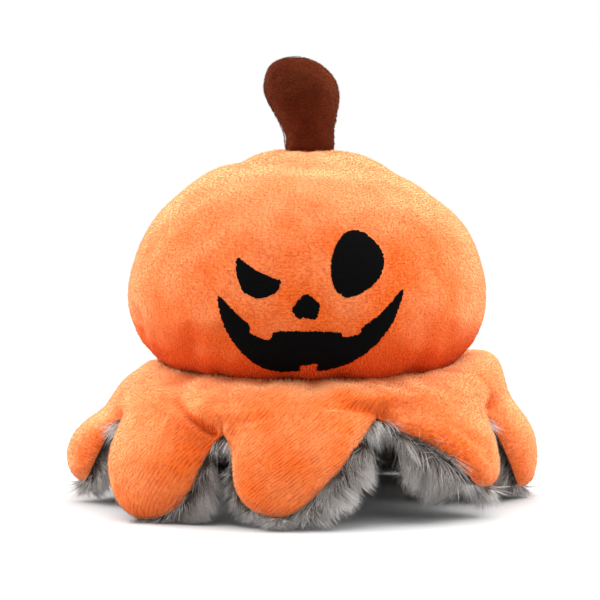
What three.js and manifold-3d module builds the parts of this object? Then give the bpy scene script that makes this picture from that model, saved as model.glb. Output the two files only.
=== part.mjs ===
// A plush pumpkin dog toy: an orange stuffed head with a sewn jack-o'-lantern face and a brown
// stem, on a padded skirt that ends in eight stuffed legs lined with grey faux fur.
// Millimetres, +Z up, front towards -Y, origin on the floor under the middle of the feet.

import * as THREE from 'three';
import { mergeVertices } from 'three/addons/utils/BufferGeometryUtils.js';
import Module from 'manifold-3d';

// Head, a dome that is drawn in below its widest level to the neck
const headRadius = 77.2;
const headOffsetX = 2.1;
const headWidestHeight = 89;
const headCrownRise = 61.5;
const headLowerDepth = 50;
const neckHeight = 58;
const crownPadRadius = 33;
const crownCreaseDepth = 1.6;
const crownCreaseWidth = 7;

// Cloth, and the room between pieces that are sewn or fitted together
const plushThickness = 1.8;
const furThickness = 2.6;
const seamGap = 0.4;
const appliqueThickness = 0.8;

// Stem, a stuffed tube that flares and leans; its base sits in the crown as a ball in a socket
const stemBallRadius = 10.4;
const stemPivotRise = 3.5;
const stemFlareRadius = 16.1;
const stemFlareRise = 23.5;
const stemTopRise = 36.5;
const stemLean = 6.5;
const stemDepthShare = 0.9;
const stemBaseOffsetX = 0.9;
const stemMouthRadius = 5;

// Skirt, a padded ring from the neck to the roots of the legs
const neckSeamDepth = 5;
const skirtShoulderRadius = 77;
const skirtShoulderRise = 2;
const skirtLiningRadius = 63;
const skirtLiningHeight = 50;
const creaseHalfThickness = 3.8;

// Legs, each a padded tongue that bends down from the skirt to the floor
const legCount = 8;
const legRootRadius = 79.5;
const legRootHeight = 45;
const legKneeRadius = 93;
const legKneeHeight = 28.5;
const legFootRadius = 94.5;
const legHalfThickness = 8;
const legFootHalfWidth = 22;
const legCup = 6;
const legParting = 2.6;
const footFlatDepth = 0.5;
const legTipRounding = 6;

// How far a leg bends at its root, and how deep the hinge line lies under the outer plush
const foldOutDegrees = 40;
const foldInDegrees = 22;
const foldSpareDegrees = 2;
const hingeDepth = 2;

// How each leg lies, from the front one round by the right: the twist of its foot in degrees
// and how far the foot leans to the right as seen from outside
const legTwists = [5, -24, 0, 0, 0, 0, 0, -5];
const legLeans = [-4, 8, 0, 0, 0, 0, 0, 0];

// Lining under the head, and the squeaker in the stuffing above it
const bellyThickness = 3;
const bellyRise = 6;
const squeakerRadius = 19;
const squeakerHeight = 30;
const squeakerWall = 1.2;
const squeakerMouthRadius = 4;
const reedLength = 9;
const reedFlangeRadius = 6.5;
const reedFlangeThickness = 1.6;

// How finely the curved skins are divided
const headSides = 36;
const headRows = 10;
const stemSides = 12;
const sectorColumns = 6;
const legRows = 7;
const legRowCrowding = 2.2;
const legSides = 6;

// Face outlines on the front of the head, as x and z from the middle of the head
const leftEyeOutline = [
  [-29, 19.8], [-24.3, 16.5], [-19.4, 13.4], [-14.1, 11.4], [-10.5, 10], [-11.9, 6.7],
  [-15.3, 4.2], [-19.4, 2.9], [-22.7, 3.7], [-26.7, 6], [-29.2, 13.2],
];
const rightEyeOutline = [
  [18.4, 30.4], [23.4, 29.2], [27, 25.9], [30.1, 22], [31.2, 17.5], [29.8, 11.8], [25.6, 7.6],
  [20.5, 4.4], [15.4, 3.2], [11, 6.3], [9.2, 13.5], [9.6, 19.4], [11.4, 24.6], [14.4, 28.8],
];
const noseOutline = [
  [-0.8, 5.9], [5.2, 0.8], [3.3, -5.5], [-0.8, -4.6], [-4.2, -4.9], [-6.8, -1.2],
];
const mouthOutline = [
  [-37, 4.5], [-31.9, -0.6], [-26.8, -5.4], [-23.5, -8.2], [-23.9, -11.4], [-19.5, -13.2],
  [-15.4, -14.3], [-13.9, -10.1], [13.4, -10.5], [14, -12.9], [18.3, -12.3], [21.6, -11.3],
  [21.7, -9], [29.7, -3.4], [34.3, 1.7], [38.7, 6.6], [38.8, 4.4], [35.9, -4.9], [30.2, -13.9],
  [21.7, -21.4], [13.2, -25.6], [3.6, -27.5], [4.1, -23.7], [-3.6, -25.1], [-2.8, -27.3],
  [-11.8, -27.9], [-19.6, -25.8], [-26.9, -19.8], [-32.6, -12.3], [-35.8, -3.7],
];

const wasm = await Module();
wasm.setup();
const toRadians = THREE.MathUtils.degToRad;
const sector = (2 * Math.PI) / legCount;

// Closed bodies from grids of points

// Adds the triangles between two neighbouring rows of a grid, or the same ones turned over.
function stitch(faces, rowA, rowB, wraps, turnedOver = false) {
  const last = wraps ? rowA.length : rowA.length - 1;
  for (let i = 0; i < last; i += 1) {
    const j = (i + 1) % rowA.length;
    const pair = [[rowA[i], rowA[j], rowB[j]], [rowA[i], rowB[j], rowB[i]]];
    faces.push(...(turnedOver ? pair.map((face) => face.reverse()) : pair));
  }
}

// Merges the corners, drops collapsed triangles and turns the faces outward.
function bodyFrom(faces) {
  const raw = new THREE.BufferGeometry();
  raw.setAttribute('position', new THREE.Float32BufferAttribute(
    faces.flatMap((face) => face.flatMap((p) => [p.x, p.y, p.z])), 3));
  const merged = mergeVertices(raw, 1e-3);
  const index = [];
  for (let i = 0; i < merged.index.count; i += 3) {
    const [a, b, c] = [0, 1, 2].map((k) => merged.index.getX(i + k));
    if (a !== b && b !== c && c !== a) index.push(a, b, c);
  }
  const at = (k) => new THREE.Vector3().fromBufferAttribute(merged.attributes.position, k);
  let volume = 0;
  for (let i = 0; i < index.length; i += 3) {
    volume += at(index[i]).dot(at(index[i + 1]).cross(at(index[i + 2])));
  }
  if (volume < 0) index.reverse();
  merged.setIndex(index);
  return merged;
}

// A body whose rows run from one pole to the other, or on to the first row where it loops.
function solidBody(rows, { loops = false } = {}) {
  const faces = [];
  rows.slice(1).forEach((row, i) => stitch(faces, rows[i], row, true));
  if (loops) stitch(faces, rows.at(-1), rows[0], true);
  return bodyFrom(faces);
}

// A sheet between an outer and an inner grid, open at its edges or wrapped round on itself.
function sheetBody(outer, inner, { wraps = false } = {}) {
  const faces = [];
  outer.slice(1).forEach((row, i) => {
    stitch(faces, outer[i], row, wraps);
    stitch(faces, inner[i], inner[i + 1], wraps, true);
  });
  stitch(faces, inner[0], outer[0], wraps);
  stitch(faces, outer.at(-1), inner.at(-1), wraps);
  if (!wraps) {
    stitch(faces, outer.map((row) => row[0]), inner.map((row) => row[0]), false);
    stitch(faces, inner.map((row) => row.at(-1)), outer.map((row) => row.at(-1)), false);
  }
  return bodyFrom(faces);
}

// Booleans

function toManifold(geometry) {
  const bare = new THREE.BufferGeometry();
  bare.setAttribute('position', geometry.attributes.position);
  if (geometry.index) bare.setIndex(geometry.index);
  const merged = mergeVertices(bare, 1e-4);
  return new wasm.Manifold(new wasm.Mesh({
    numProp: 3,
    vertProperties: new Float32Array(merged.attributes.position.array),
    triVerts: new Uint32Array(merged.index.array),
  }));
}

function toGeometry(manifold) {
  const mesh = manifold.getMesh();
  const geometry = new THREE.BufferGeometry();
  geometry.setAttribute('position', new THREE.Float32BufferAttribute(mesh.vertProperties, 3));
  geometry.setIndex([...mesh.triVerts]);
  return geometry;
}

function lathe(profile, sides) {
  const points = profile.map(([radius, height]) => new THREE.Vector2(radius, height));
  return new THREE.LatheGeometry(points, sides).rotateX(Math.PI / 2);
}

// Cuts away what lies under the floor, where a rounded foot is pressed flat.
function standOnFloor(geometry) {
  const reach = 3 * legFootRadius;
  const slab = new THREE.BoxGeometry(reach, reach, reach).translate(0, 0, -reach / 2);
  return toGeometry(toManifold(geometry).subtract(toManifold(slab)));
}

// The head's shape

const steps = (count) => Array.from({ length: count + 1 }, (_, i) => i / count);

// Radius and height of the head's skin, drawn in by an inset, at an angle up from the middle.
function headProfile(angle, inset) {
  const semiHeight = (angle > 0 ? headCrownRise : headLowerDepth) - inset;
  const radius = (headRadius - inset) * Math.cos(angle);
  const fromCrease = (radius - crownPadRadius) / crownCreaseWidth;
  const crease = angle > 0 ? crownCreaseDepth * Math.exp(-fromCrease * fromCrease) : 0;
  return { radius, height: headWidestHeight + semiHeight * Math.sin(angle) - crease };
}

const neckAngle = (inset) => -Math.asin((headWidestHeight - neckHeight) / (headLowerDepth - inset));
const neckRadius = headProfile(neckAngle(0), 0).radius;
const crownHeight = headWidestHeight + headCrownRise;

function ringAt(radius, height, sides, centreX) {
  return steps(sides).slice(0, -1).map((share) => {
    const turn = share * 2 * Math.PI;
    return new THREE.Vector3(
      centreX + radius * Math.sin(turn), -radius * Math.cos(turn), height);
  });
}

const stemCentreX = headOffsetX + stemBaseOffsetX;
const stemPivotHeight = crownHeight + stemPivotRise;
const socketRadius = stemBallRadius + seamGap;
const socketRingRadius = Math.sqrt(socketRadius ** 2 - stemPivotRise ** 2) + stemBaseOffsetX + 1;

// Rings of the head's skin from the neck up to the hole that the stem stands in.
function headRings(inset) {
  const from = neckAngle(inset);
  const to = Math.acos(socketRingRadius / (headRadius - inset));
  return steps(headRows).map((share) => {
    const { radius, height } = headProfile(from + (to - from) * share, inset);
    return ringAt(radius, height, headSides, headOffsetX);
  });
}

// The rings with a pole at the crown, where they close over.
function closedHeadRings(inset) {
  const { height } = headProfile(Math.PI / 2, inset);
  return [...headRings(inset), ringAt(0, height, headSides, headOffsetX)];
}

function headCover() {
  return sheetBody(headRings(0), headRings(plushThickness), { wraps: true });
}

const bellyTop = neckHeight - bellyRise + bellyThickness;
const squeakerBase = bellyTop + seamGap + reedFlangeThickness + seamGap;

// The stuffing has a socket for the stem's ball and a pocket for the squeaker.
function headStuffing() {
  const inset = plushThickness + seamGap;
  const floor = bellyTop + seamGap;
  const floorRadius = neckRadius - inset - neckSeamDepth;
  const rows = [
    ringAt(0, floor, headSides, headOffsetX),
    ringAt(floorRadius, floor, headSides, headOffsetX),
    ...closedHeadRings(inset),
  ];
  const socket = new THREE.SphereGeometry(socketRadius, stemSides * 2, stemSides)
    .translate(stemCentreX, 0, stemPivotHeight);
  const pocketRadius = squeakerRadius + seamGap;
  const pocketTop = squeakerBase + squeakerHeight + seamGap;
  const pocket = lathe(
    [[0, floor - 1], [pocketRadius, floor - 1], [pocketRadius, pocketTop], [0, pocketTop]],
    stemSides * 2).translate(headOffsetX, 0, 0);
  return toGeometry(
    toManifold(solidBody(rows)).subtract(toManifold(socket)).subtract(toManifold(pocket)));
}

// Squeaker, a hollow bulb with a reed in its mouth

function bulbRing(angle, inset) {
  const radius = (squeakerRadius - inset) * Math.cos(angle);
  const height = squeakerBase + squeakerHeight / 2
    + (squeakerHeight / 2 - inset) * Math.sin(angle);
  return ringAt(radius, height, stemSides, headOffsetX);
}

function squeakerBulb() {
  const mouthAngle = (inset) => -Math.acos(squeakerMouthRadius / (squeakerRadius - inset));
  const rings = (inset) => steps(headRows / 2).map((share) => {
    const from = mouthAngle(inset);
    return bulbRing(from + (Math.PI / 2 - from) * share, inset);
  });
  return sheetBody(rings(0), rings(squeakerWall), { wraps: true });
}

function squeakerReed() {
  const plugRadius = squeakerMouthRadius - 2 * seamGap;
  const flangeBase = squeakerBase - seamGap - reedFlangeThickness;
  const flangeTop = squeakerBase - seamGap;
  return lathe([
    [0, flangeBase], [reedFlangeRadius, flangeBase], [reedFlangeRadius, flangeTop],
    [plugRadius, flangeTop], [plugRadius, flangeTop + reedLength], [0, flangeTop + reedLength],
  ], stemSides).translate(headOffsetX, 0, 0);
}

// Face, each feature a thin patch that lies on the head's skin

function headSolid(inset) {
  const bottom = ringAt(0, neckHeight, headSides, headOffsetX);
  return toManifold(solidBody([bottom, ...closedHeadRings(inset)]));
}

const patchSlab = headSolid(-seamGap - appliqueThickness).subtract(headSolid(-seamGap));

function facePatch(outline) {
  const shape = new THREE.Shape(outline.map(([x, z]) => new THREE.Vector2(x, z)));
  const prism = new THREE.ExtrudeGeometry(shape, { depth: 2 * headRadius, bevelEnabled: false })
    .rotateX(Math.PI / 2).translate(headOffsetX, 0, headWidestHeight);
  return toGeometry(patchSlab.intersect(toManifold(prism)));
}

// Stem

// Centre, radius and height of the stem's skin at a share of the way from its base to its tip.
function stemRing(share, inset) {
  const flareShare = stemFlareRise / stemTopRise;
  const rise = share * (stemTopRise - inset);
  let radius;
  if (share < flareShare) {
    const s = share / flareShare;
    radius = THREE.MathUtils.lerp(stemBallRadius, stemFlareRadius, s * s * (3 - 2 * s));
  } else {
    const s = (share - flareShare) / (1 - flareShare);
    radius = stemFlareRadius * Math.sqrt(1 - s ** 3);
  }
  const drawnIn = share < 1 ? Math.max(radius - inset * Math.min(1, radius / stemBallRadius), 0) : 0;
  const depth = THREE.MathUtils.lerp(1, stemDepthShare, share);
  return ringAt(drawnIn, 0, stemSides, 0).map((p) => new THREE.Vector3(
    stemCentreX + p.x - stemLean * share ** 1.2, p.y * depth, stemPivotHeight + rise));
}

// The lower half of the ball, from an angle under the pivot up to just below the pivot.
function stemBallRings(inset, from) {
  return steps(3).slice(0, -1).map((share) => {
    const angle = from * (1 - share);
    const radius = (stemBallRadius - inset) * Math.cos(angle);
    const height = stemPivotHeight + (stemBallRadius - inset) * Math.sin(angle);
    return ringAt(radius, height, stemSides, stemCentreX);
  });
}

const stemRings = (inset) => steps(6).map((share) => stemRing(share, inset));

function stemCover() {
  const mouthAngle = (inset) => -Math.acos(stemMouthRadius / (stemBallRadius - inset));
  const rings = (inset) => [...stemBallRings(inset, mouthAngle(inset)), ...stemRings(inset)];
  return sheetBody(rings(0), rings(plushThickness), { wraps: true });
}

function stemStuffing() {
  const inset = plushThickness + seamGap;
  return solidBody([...stemBallRings(inset, -Math.PI / 2), ...stemRings(inset)]);
}

// Legs

const rootPoint = new THREE.Vector2(legRootRadius, legRootHeight);
const kneePoint = new THREE.Vector2(legKneeRadius, legKneeHeight);
const footPoint = new THREE.Vector2(legFootRadius, -footFlatDepth);
const legSpine = new THREE.QuadraticBezierCurve(rootPoint, kneePoint, footPoint);
const legLength = legSpine.getLength();
const legDown = legSpine.getTangent(0);
const legOut = new THREE.Vector2(-legDown.y, legDown.x);
const hingeLift = legHalfThickness - hingeDepth;
const legRootHalfWidth = (legRootRadius - legCup * legOut.x) * Math.tan(sector / 2) - legParting / 2;
const bendShare = 0.1;
const legRootCurvature = Math.acos(legDown.dot(legSpine.getTangentAt(bendShare)))
  / (bendShare * legLength);

// A point of a leg's frame, sideways and outward from the spine, in the part's frame.
function placeOnLeg(turn, radius, side, height) {
  return new THREE.Vector3(
    radius * Math.sin(turn) + side * Math.cos(turn),
    -radius * Math.cos(turn) + side * Math.sin(turn),
    height);
}

// How far along its spine a leg's root face stands back from the skirt, so that it can bend
// both ways; under the spine, the bend of the leg makes the way along it longer.
function rootSetback(lift) {
  const limit = lift < hingeLift ? foldInDegrees : foldOutDegrees;
  const room = Math.abs(lift - hingeLift) * Math.tan(toRadians(limit + foldSpareDegrees));
  return (seamGap + room) / (1 + legRootCurvature * lift);
}

// A point of a leg's skin at a share of its length and an angle round its section.
function legPoint(leg, along, around, inset, shift = 0) {
  const taper = Math.sqrt(1 - along ** legTipRounding);
  const halfWidth = THREE.MathUtils.lerp(legRootHalfWidth, legFootHalfWidth, along) - inset;
  const halfThickness = legHalfThickness - inset;
  const cup = legCup * Math.cos(around) ** 2 * (1 - along / 2);
  const side = halfWidth * taper * Math.cos(around);
  const lift = halfThickness * taper * Math.sin(around) - cup * taper + shift;
  const start = rootSetback(lift) / legLength;
  const t = THREE.MathUtils.lerp(start, 1 - inset / legLength, along);
  const twist = toRadians(legTwists[leg % legTwists.length]) * along ** 2;
  const lean = legLeans[leg % legLeans.length] * along ** 2;
  const turnedSide = side * Math.cos(twist) - lift * Math.sin(twist) + lean;
  const turnedLift = side * Math.sin(twist) + lift * Math.cos(twist);
  const centre = legSpine.getPointAt(t);
  const tangent = legSpine.getTangentAt(t);
  return placeOnLeg(leg * sector, centre.x - tangent.y * turnedLift, turnedSide,
    centre.y + tangent.x * turnedLift);
}

const legShares = steps(legRows).map((share) => 1 - (1 - share) ** legRowCrowding);

function legHalf(leg, from, inset, shift) {
  return legShares.map((along) => steps(legSides).map(
    (share) => legPoint(leg, along, from + Math.PI * share, inset, shift)));
}

function legCover(leg) {
  return standOnFloor(sheetBody(
    legHalf(leg, 0, 0, seamGap), legHalf(leg, 0, plushThickness, seamGap)));
}

function legFur(leg) {
  return standOnFloor(sheetBody(
    legHalf(leg, Math.PI, 0, 0), legHalf(leg, Math.PI, furThickness, 0)));
}

function legPadding(leg) {
  const inset = furThickness + seamGap;
  const rings = legShares.map((along) => steps(2 * legSides).slice(0, -1).map(
    (share) => legPoint(leg, along, 2 * Math.PI * share, inset)));
  const middle = rings[0].reduce((sum, p) => sum.add(p), new THREE.Vector3())
    .divideScalar(rings[0].length);
  return solidBody([rings[0].map(() => middle), ...rings]);
}

// Skirt

const skirtAngles = steps(legCount * sectorColumns).slice(0, -1)
  .map((share) => share * 2 * Math.PI - sector / 2);

// Sideways share across the sector that a direction falls in, from -1 to 1.
function acrossSector(turn) {
  const leg = Math.round(turn / sector);
  return { leg, offset: turn - leg * sector, across: (2 * (turn - leg * sector)) / sector };
}

// The skirt's section over a leg root: lift of its outer or inner skin from the spine's plane.
function rootLift(across, side, inset) {
  const swell = Math.sqrt(Math.max(0, 1 - across ** 2));
  const half = creaseHalfThickness + (legHalfThickness - creaseHalfThickness) * swell;
  return side * (half - inset) - legCup * across ** 2;
}

// A point of the skirt's outer or inner skin, from the neck (0) to the leg's root (1).
function skirtPoint(turn, share, side, inset) {
  const { leg, offset, across } = acrossSector(turn);
  const lift = rootLift(across, side, inset);
  const rootRadius = legRootRadius + lift * legOut.x;
  const end = placeOnLeg(
    leg * sector, rootRadius, rootRadius * Math.tan(offset), legRootHeight + lift * legOut.y);
  const neckSide = side > 0
    ? [neckRadius - inset / 2, neckHeight - seamGap - inset]
    : [neckRadius - neckSeamDepth + inset / 2, neckHeight - seamGap - neckSeamDepth + inset];
  const bend = side > 0
    ? [skirtShoulderRadius - inset / 2, neckHeight + skirtShoulderRise - inset]
    : [skirtLiningRadius + inset / 2, skirtLiningHeight + inset];
  const start = placeOnLeg(turn, neckSide[0], 0, neckSide[1]);
  const middle = placeOnLeg(turn, bend[0], 0, bend[1]);
  return new THREE.QuadraticBezierCurve3(start, middle, end).getPoint(share);
}

function skirtRow(share, side, inset) {
  return skirtAngles.map((turn) => skirtPoint(turn, share, side, inset));
}

// The outer skin's rows run down from the neck, and the inner skin's run back up to it.
const outerSkirtRows = (inset) => steps(3).map((share) => skirtRow(share, 1, inset));
const innerSkirtRows = (inset) => steps(2).map((share) => skirtRow(1 - share, -1, inset));

function skirtCover() {
  return sheetBody(outerSkirtRows(0), outerSkirtRows(plushThickness), { wraps: true });
}

function skirtLining() {
  return sheetBody(innerSkirtRows(furThickness), innerSkirtRows(0), { wraps: true });
}

function skirtPadding() {
  const rows = [
    ...outerSkirtRows(plushThickness + seamGap), ...innerSkirtRows(furThickness + seamGap)];
  return solidBody(rows, { loops: true });
}

function bellyLining() {
  const radius = neckRadius - neckSeamDepth - seamGap - bellyThickness;
  const base = bellyTop - bellyThickness;
  return lathe([[0, base], [radius, base], [radius, bellyTop], [0, bellyTop]], headSides);
}

// Materials

function material(colour, roughness, metalness = 0) {
  return new THREE.MeshStandardMaterial({ color: colour, roughness, metalness });
}

const orangePlush = () => material('#e8550f', 0.95);
const brownPlush = () => material('#6b2a14', 0.95);
const blackCloth = () => material('#15110f', 0.85);
const greyFur = () => material('#8d8681', 1);
const whiteFill = () => material('#f0eeea', 1);
const clearPlastic = () => material('#e6e2d8', 0.4);

// Assembly

const part = new THREE.Group();

function add(name, geometry, itsMaterial) {
  geometry.computeVertexNormals();
  const mesh = new THREE.Mesh(geometry, itsMaterial);
  mesh.name = name;
  part.add(mesh);
}

add('head_cover', headCover(), orangePlush());
add('head_stuffing', headStuffing(), whiteFill());
add('squeaker_bulb', squeakerBulb(), clearPlastic());
add('squeaker_reed', squeakerReed(), clearPlastic());
add('left_eye', facePatch(leftEyeOutline), blackCloth());
add('right_eye', facePatch(rightEyeOutline), blackCloth());
add('nose', facePatch(noseOutline), blackCloth());
add('mouth', facePatch(mouthOutline), blackCloth());
add('stem_cover', stemCover(), brownPlush());
add('stem_stuffing', stemStuffing(), whiteFill());
add('skirt_cover', skirtCover(), orangePlush());
add('skirt_padding', skirtPadding(), whiteFill());
add('skirt_lining', skirtLining(), greyFur());
add('belly_lining', bellyLining(), greyFur());
for (let leg = 0; leg < legCount; leg += 1) {
  add(`leg_cover_${leg + 1}`, legCover(leg), orangePlush());
  add(`leg_fur_${leg + 1}`, legFur(leg), greyFur());
  add(`leg_padding_${leg + 1}`, legPadding(leg), whiteFill());
}

export default part;
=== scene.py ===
"""Plush pumpkin dog toy: the looks of a two-sided skirted plush toy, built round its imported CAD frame.

An orange velboa head with a jack-o'-lantern face stands on a skirt of eight stuffed legs. The legs are orange outside
and long grey fur inside. Everything is in metres and in the frame of the CAD part.
"""

import functools
import math

import bmesh
import bpy
import numpy as np
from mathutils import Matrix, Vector, noise
from mathutils.bvhtree import BVHTree
from mathutils.geometry import delaunay_2d_cdt


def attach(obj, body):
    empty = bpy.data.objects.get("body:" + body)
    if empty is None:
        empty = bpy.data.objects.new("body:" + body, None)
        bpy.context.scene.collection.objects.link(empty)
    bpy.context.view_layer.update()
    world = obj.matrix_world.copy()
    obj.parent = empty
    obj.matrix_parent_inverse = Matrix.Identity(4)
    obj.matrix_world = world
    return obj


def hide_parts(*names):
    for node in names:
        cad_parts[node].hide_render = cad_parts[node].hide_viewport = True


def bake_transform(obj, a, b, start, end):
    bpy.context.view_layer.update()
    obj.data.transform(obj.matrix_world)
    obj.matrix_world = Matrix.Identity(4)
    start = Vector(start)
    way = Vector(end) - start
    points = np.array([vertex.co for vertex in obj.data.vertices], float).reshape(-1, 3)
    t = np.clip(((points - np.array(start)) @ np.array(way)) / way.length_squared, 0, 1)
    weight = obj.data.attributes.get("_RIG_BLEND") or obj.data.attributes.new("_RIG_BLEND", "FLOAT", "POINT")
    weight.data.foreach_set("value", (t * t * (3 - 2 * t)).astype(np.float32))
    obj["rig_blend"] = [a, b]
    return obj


bl_info = {
    "name": "Plush pumpkin dog toy",
    "version": (1, 0, 0),
    "blender": (4, 5, 0),
    "location": "View3D > Sidebar > Plush toy",
    "description": "Builds a skirted plush pumpkin dog toy round its CAD frame",
    "category": "Add Mesh",
}

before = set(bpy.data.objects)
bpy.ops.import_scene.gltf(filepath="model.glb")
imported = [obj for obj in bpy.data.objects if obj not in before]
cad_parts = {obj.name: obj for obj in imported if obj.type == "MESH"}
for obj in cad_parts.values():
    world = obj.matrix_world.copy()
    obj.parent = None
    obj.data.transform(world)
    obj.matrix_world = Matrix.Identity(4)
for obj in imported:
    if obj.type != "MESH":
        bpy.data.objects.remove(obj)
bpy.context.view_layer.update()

# The middle surface of the skirt and its legs, as radius and height from the neck seam down to a foot.
SPINE = (
    (0.0578, 0.0528), (0.0635, 0.0512), (0.0700, 0.0485), (0.0767, 0.0443), (0.0828, 0.0385),
    (0.0873, 0.0310), (0.0904, 0.0220), (0.0928, 0.0110), (0.0938, 0.0000),
)

# Each leg, from the front one round by the right: how its outline and hang differ from its neighbours.
# waist: share of its root width that it keeps, spread: how soon it narrows, blunt: how square its tip is,
# tip: height of the orange tip, turn and twist: degrees at the tip, lean: metres sideways, reach: metres outward,
# shag: how much longer the fur is at its left rim, tuck: how far the fur at its left and right rims is turned in.
LEG_TRAITS = ("waist", "spread", "blunt", "tip", "turn", "twist", "lean", "reach", "shag", "tuck")
LEGS = [dict(zip(LEG_TRAITS, row)) for row in (
    (0.74, 0.34, 2.4, 0.0056, -4.0, 4.0, -0.004, 0.000, 1.0, (0.40, -0.40)),
    (0.80, 0.30, 2.6, 0.0130, 5.0, -24.0, 0.005, 0.001, 1.45, (0.25, 1.00)),
    (0.76, 0.14, 4.6, 0.0050, 4.0, 0.0, 0.000, 0.001, 1.0, (0.80, 0.40)),
    (0.97, 0.12, 11.0, 0.0020, -2.0, 4.0, 0.005, 0.000, 1.0, (0.30, 0.30)),
    (0.99, 0.15, 11.0, 0.0020, 1.0, -3.0, 0.000, 0.000, 1.0, (0.30, 0.30)),
    (0.97, 0.12, 9.0, 0.0020, -1.0, 5.0, -0.004, 0.000, 1.0, (0.30, 0.30)),
    (0.72, 0.14, 3.2, 0.0090, 3.0, 6.0, 0.000, 0.001, 1.0, (0.60, 0.60)),
    (0.75, 0.28, 3.0, 0.0012, 1.0, -4.0, 0.000, 0.000, 1.0, (0.50, 0.10)),
)]
LEG_COUNT = len(LEGS)
HALF_SECTOR = math.pi / LEG_COUNT
# Each leg's cloth, and how many degrees its pile lies aslant.
LEG_CLOTHS = ("orange velboa", *["orange velboa, specked"] * 6, "orange velboa")
SLANTS = (46, 14, 0, 12, -14, 10, -8, 58)
# Height of the fork after each leg, so the first lies between the front leg and the one to its right.
FORKS = (0.0430, 0.0400, 0.0395, 0.0410, 0.0385, 0.0400, 0.0385, 0.0370)
# How much fur bushes out of each fork, from none to 1, and from where on it hides the gap altogether.
FORK_TUFTS = (0.3, 0.0, 0.5, 1.0, 1.0, 0.5, 0.1, 0.0)
BUSHY = 0.9
# How far the furry lining rolls out beyond the orange, left and right of each leg.
ROLLS = (
    (0.0015, 0.0050), (0.0060, 0.0000), (0.0000, 0.0010), (0.0010, 0.0030), (0.0030, 0.0030), (0.0030, 0.0010),
    (0.0010, 0.0000), (0.0000, 0.0040),
)
# The height under which no point of a leg lies, the depth at which the painted shade of a fold is darkest, and the
# radius at which the two bearings of a fold are taken in metres.
LOWEST_POINT, DARK_FOLD, FOLD_RADIUS = 0.0006, 0.0032, 0.083
# How far along its middle line the skirt starts to fall, and how far along it is as thick as its shoulder.
FALLS_FROM, SHOULDER_AT = 0.012, 0.019
# The gap that opens beside a leg's rim where it narrows to nothing, which bounds the fur there.
WIDEST_GAP = 2.4 * 0.033
# Where a leg starts to bend and where it has fully bent, as radius and height.
BEND_FROM, BEND_TO = (0.0850, 0.0360), (0.0920, 0.0120)

# How the skirt's shoulder is pushed up or down: bearing in degrees and half width, then middle and half width along the
# spine, and how far.
BULGES = (
    (92, 38, 0.0145, 0.0100, 0.0105),
    (-88, 40, 0.0045, 0.0060, 0.0034),
    (-88, 40, 0.0290, 0.0120, -0.0052),
)

# Soft folds in the skirt: bearing in degrees and height of both ends, then depth, or rise below nought, and half width.
FOLDS = (
    (-24.7, 0.0381, -38.5, 0.0487, 0.0040, 0.0014),
    (-21.0, 0.0412, -34.0, 0.0518, -0.0034, 0.0034),
    (-27.5, 0.0350, -42.0, 0.0450, 0.0016, 0.0056),
    (24.0, 0.0449, 11.0, 0.0506, 0.0016, 0.0030),
    (70.0, 0.0440, 66.0, 0.0560, 0.0020, 0.0030),
    (-67.0, 0.0400, -76.0, 0.0500, 0.0016, 0.0030),
    (158.0, 0.0410, 147.0, 0.0510, 0.0026, 0.0026),
    (-157.0, 0.0410, -168.0, 0.0520, 0.0024, 0.0028),
    (113.0, 0.0400, 103.0, 0.0500, 0.0024, 0.0026),
    (-112.0, 0.0400, -121.0, 0.0500, 0.0022, 0.0026),
)

# The face, cut from black cloth: outlines in millimetres across and up from the head's middle.
LEFT_EYE = (
    (-29, 19.8), (-24.3, 16.5), (-19.4, 13.4), (-14.1, 11.4), (-10.5, 10), (-11.9, 6.7), (-15.3, 4.2),
    (-19.4, 2.9), (-22.7, 3.7), (-26.7, 6), (-29.2, 13.2),
)
RIGHT_EYE = (
    (18.4, 30.4), (23.4, 29.2), (27, 25.9), (30.1, 22), (31.2, 17.5), (29.8, 11.8), (25.6, 7.6), (20.5, 4.4),
    (15.4, 3.2), (11, 6.3), (9.2, 13.5), (9.6, 19.4), (11.4, 24.6), (14.4, 28.8),
)
NOSE = ((-0.8, 5.9), (5.2, 0.8), (3.3, -5.5), (-0.8, -4.6), (-4.2, -4.9), (-6.8, -1.2))
MOUTH = (
    (-37, 4.5), (-31.9, -0.6), (-26.8, -5.4), (-23.5, -8.2), (-23.9, -11.4), (-19.5, -13.2), (-15.4, -14.3),
    (-13.9, -10.1), (13.4, -10.5), (14, -12.9), (18.3, -12.3), (21.6, -11.3), (21.7, -9), (29.7, -3.4),
    (34.3, 1.7), (38.7, 6.6), (38.8, 4.4), (35.9, -4.9), (30.2, -13.9), (21.7, -21.4), (13.2, -25.6),
    (3.6, -27.5), (4.1, -23.7), (-3.6, -25.1), (-2.8, -27.3), (-11.8, -27.9), (-19.6, -25.8), (-26.9, -19.8),
    (-32.6, -12.3), (-35.8, -3.7),
)
# Each patch's outline, and how often its corners are eased.
FACE = {"left_eye": (LEFT_EYE, 1), "right_eye": (RIGHT_EYE, 2), "nose": (NOSE, 1), "mouth": (MOUTH, 1)}
MILLIMETRE = 0.001
# A patch's edge is walked in steps and made this ragged. Its inner points have this pitch and keep this far from it.
EDGE_STEP, EDGE_RAGGED, PATCH_PITCH, PATCH_INSET = 0.0006, 0.00070, 0.0016, 0.0007
# How far a patch stands out from the head, how far at its rim, and how far it goes in.
PATCH_RISE, PATCH_RIM_RISE, PATCH_SINK = 0.0006, 0.00035, 0.0004
# How close to a patch no pile grows.
PATCH_CLEARANCE = 0.00068

# Bumps and hollows of each soft piece: how high, how wide, and a number that tells them apart.
HEAD_LUMPS = ((0.0008, 0.030, 1), (0.00045, 0.012, 2))
STEM_LUMPS = ((0.00055, 0.010, 11), (0.0003, 0.004, 12))
LEG_LUMPS = ((0.00055, 0.016, 21), (0.0003, 0.007, 31))
BELLY_LUMPS = ((0.0008, 0.018, 51),)
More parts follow.
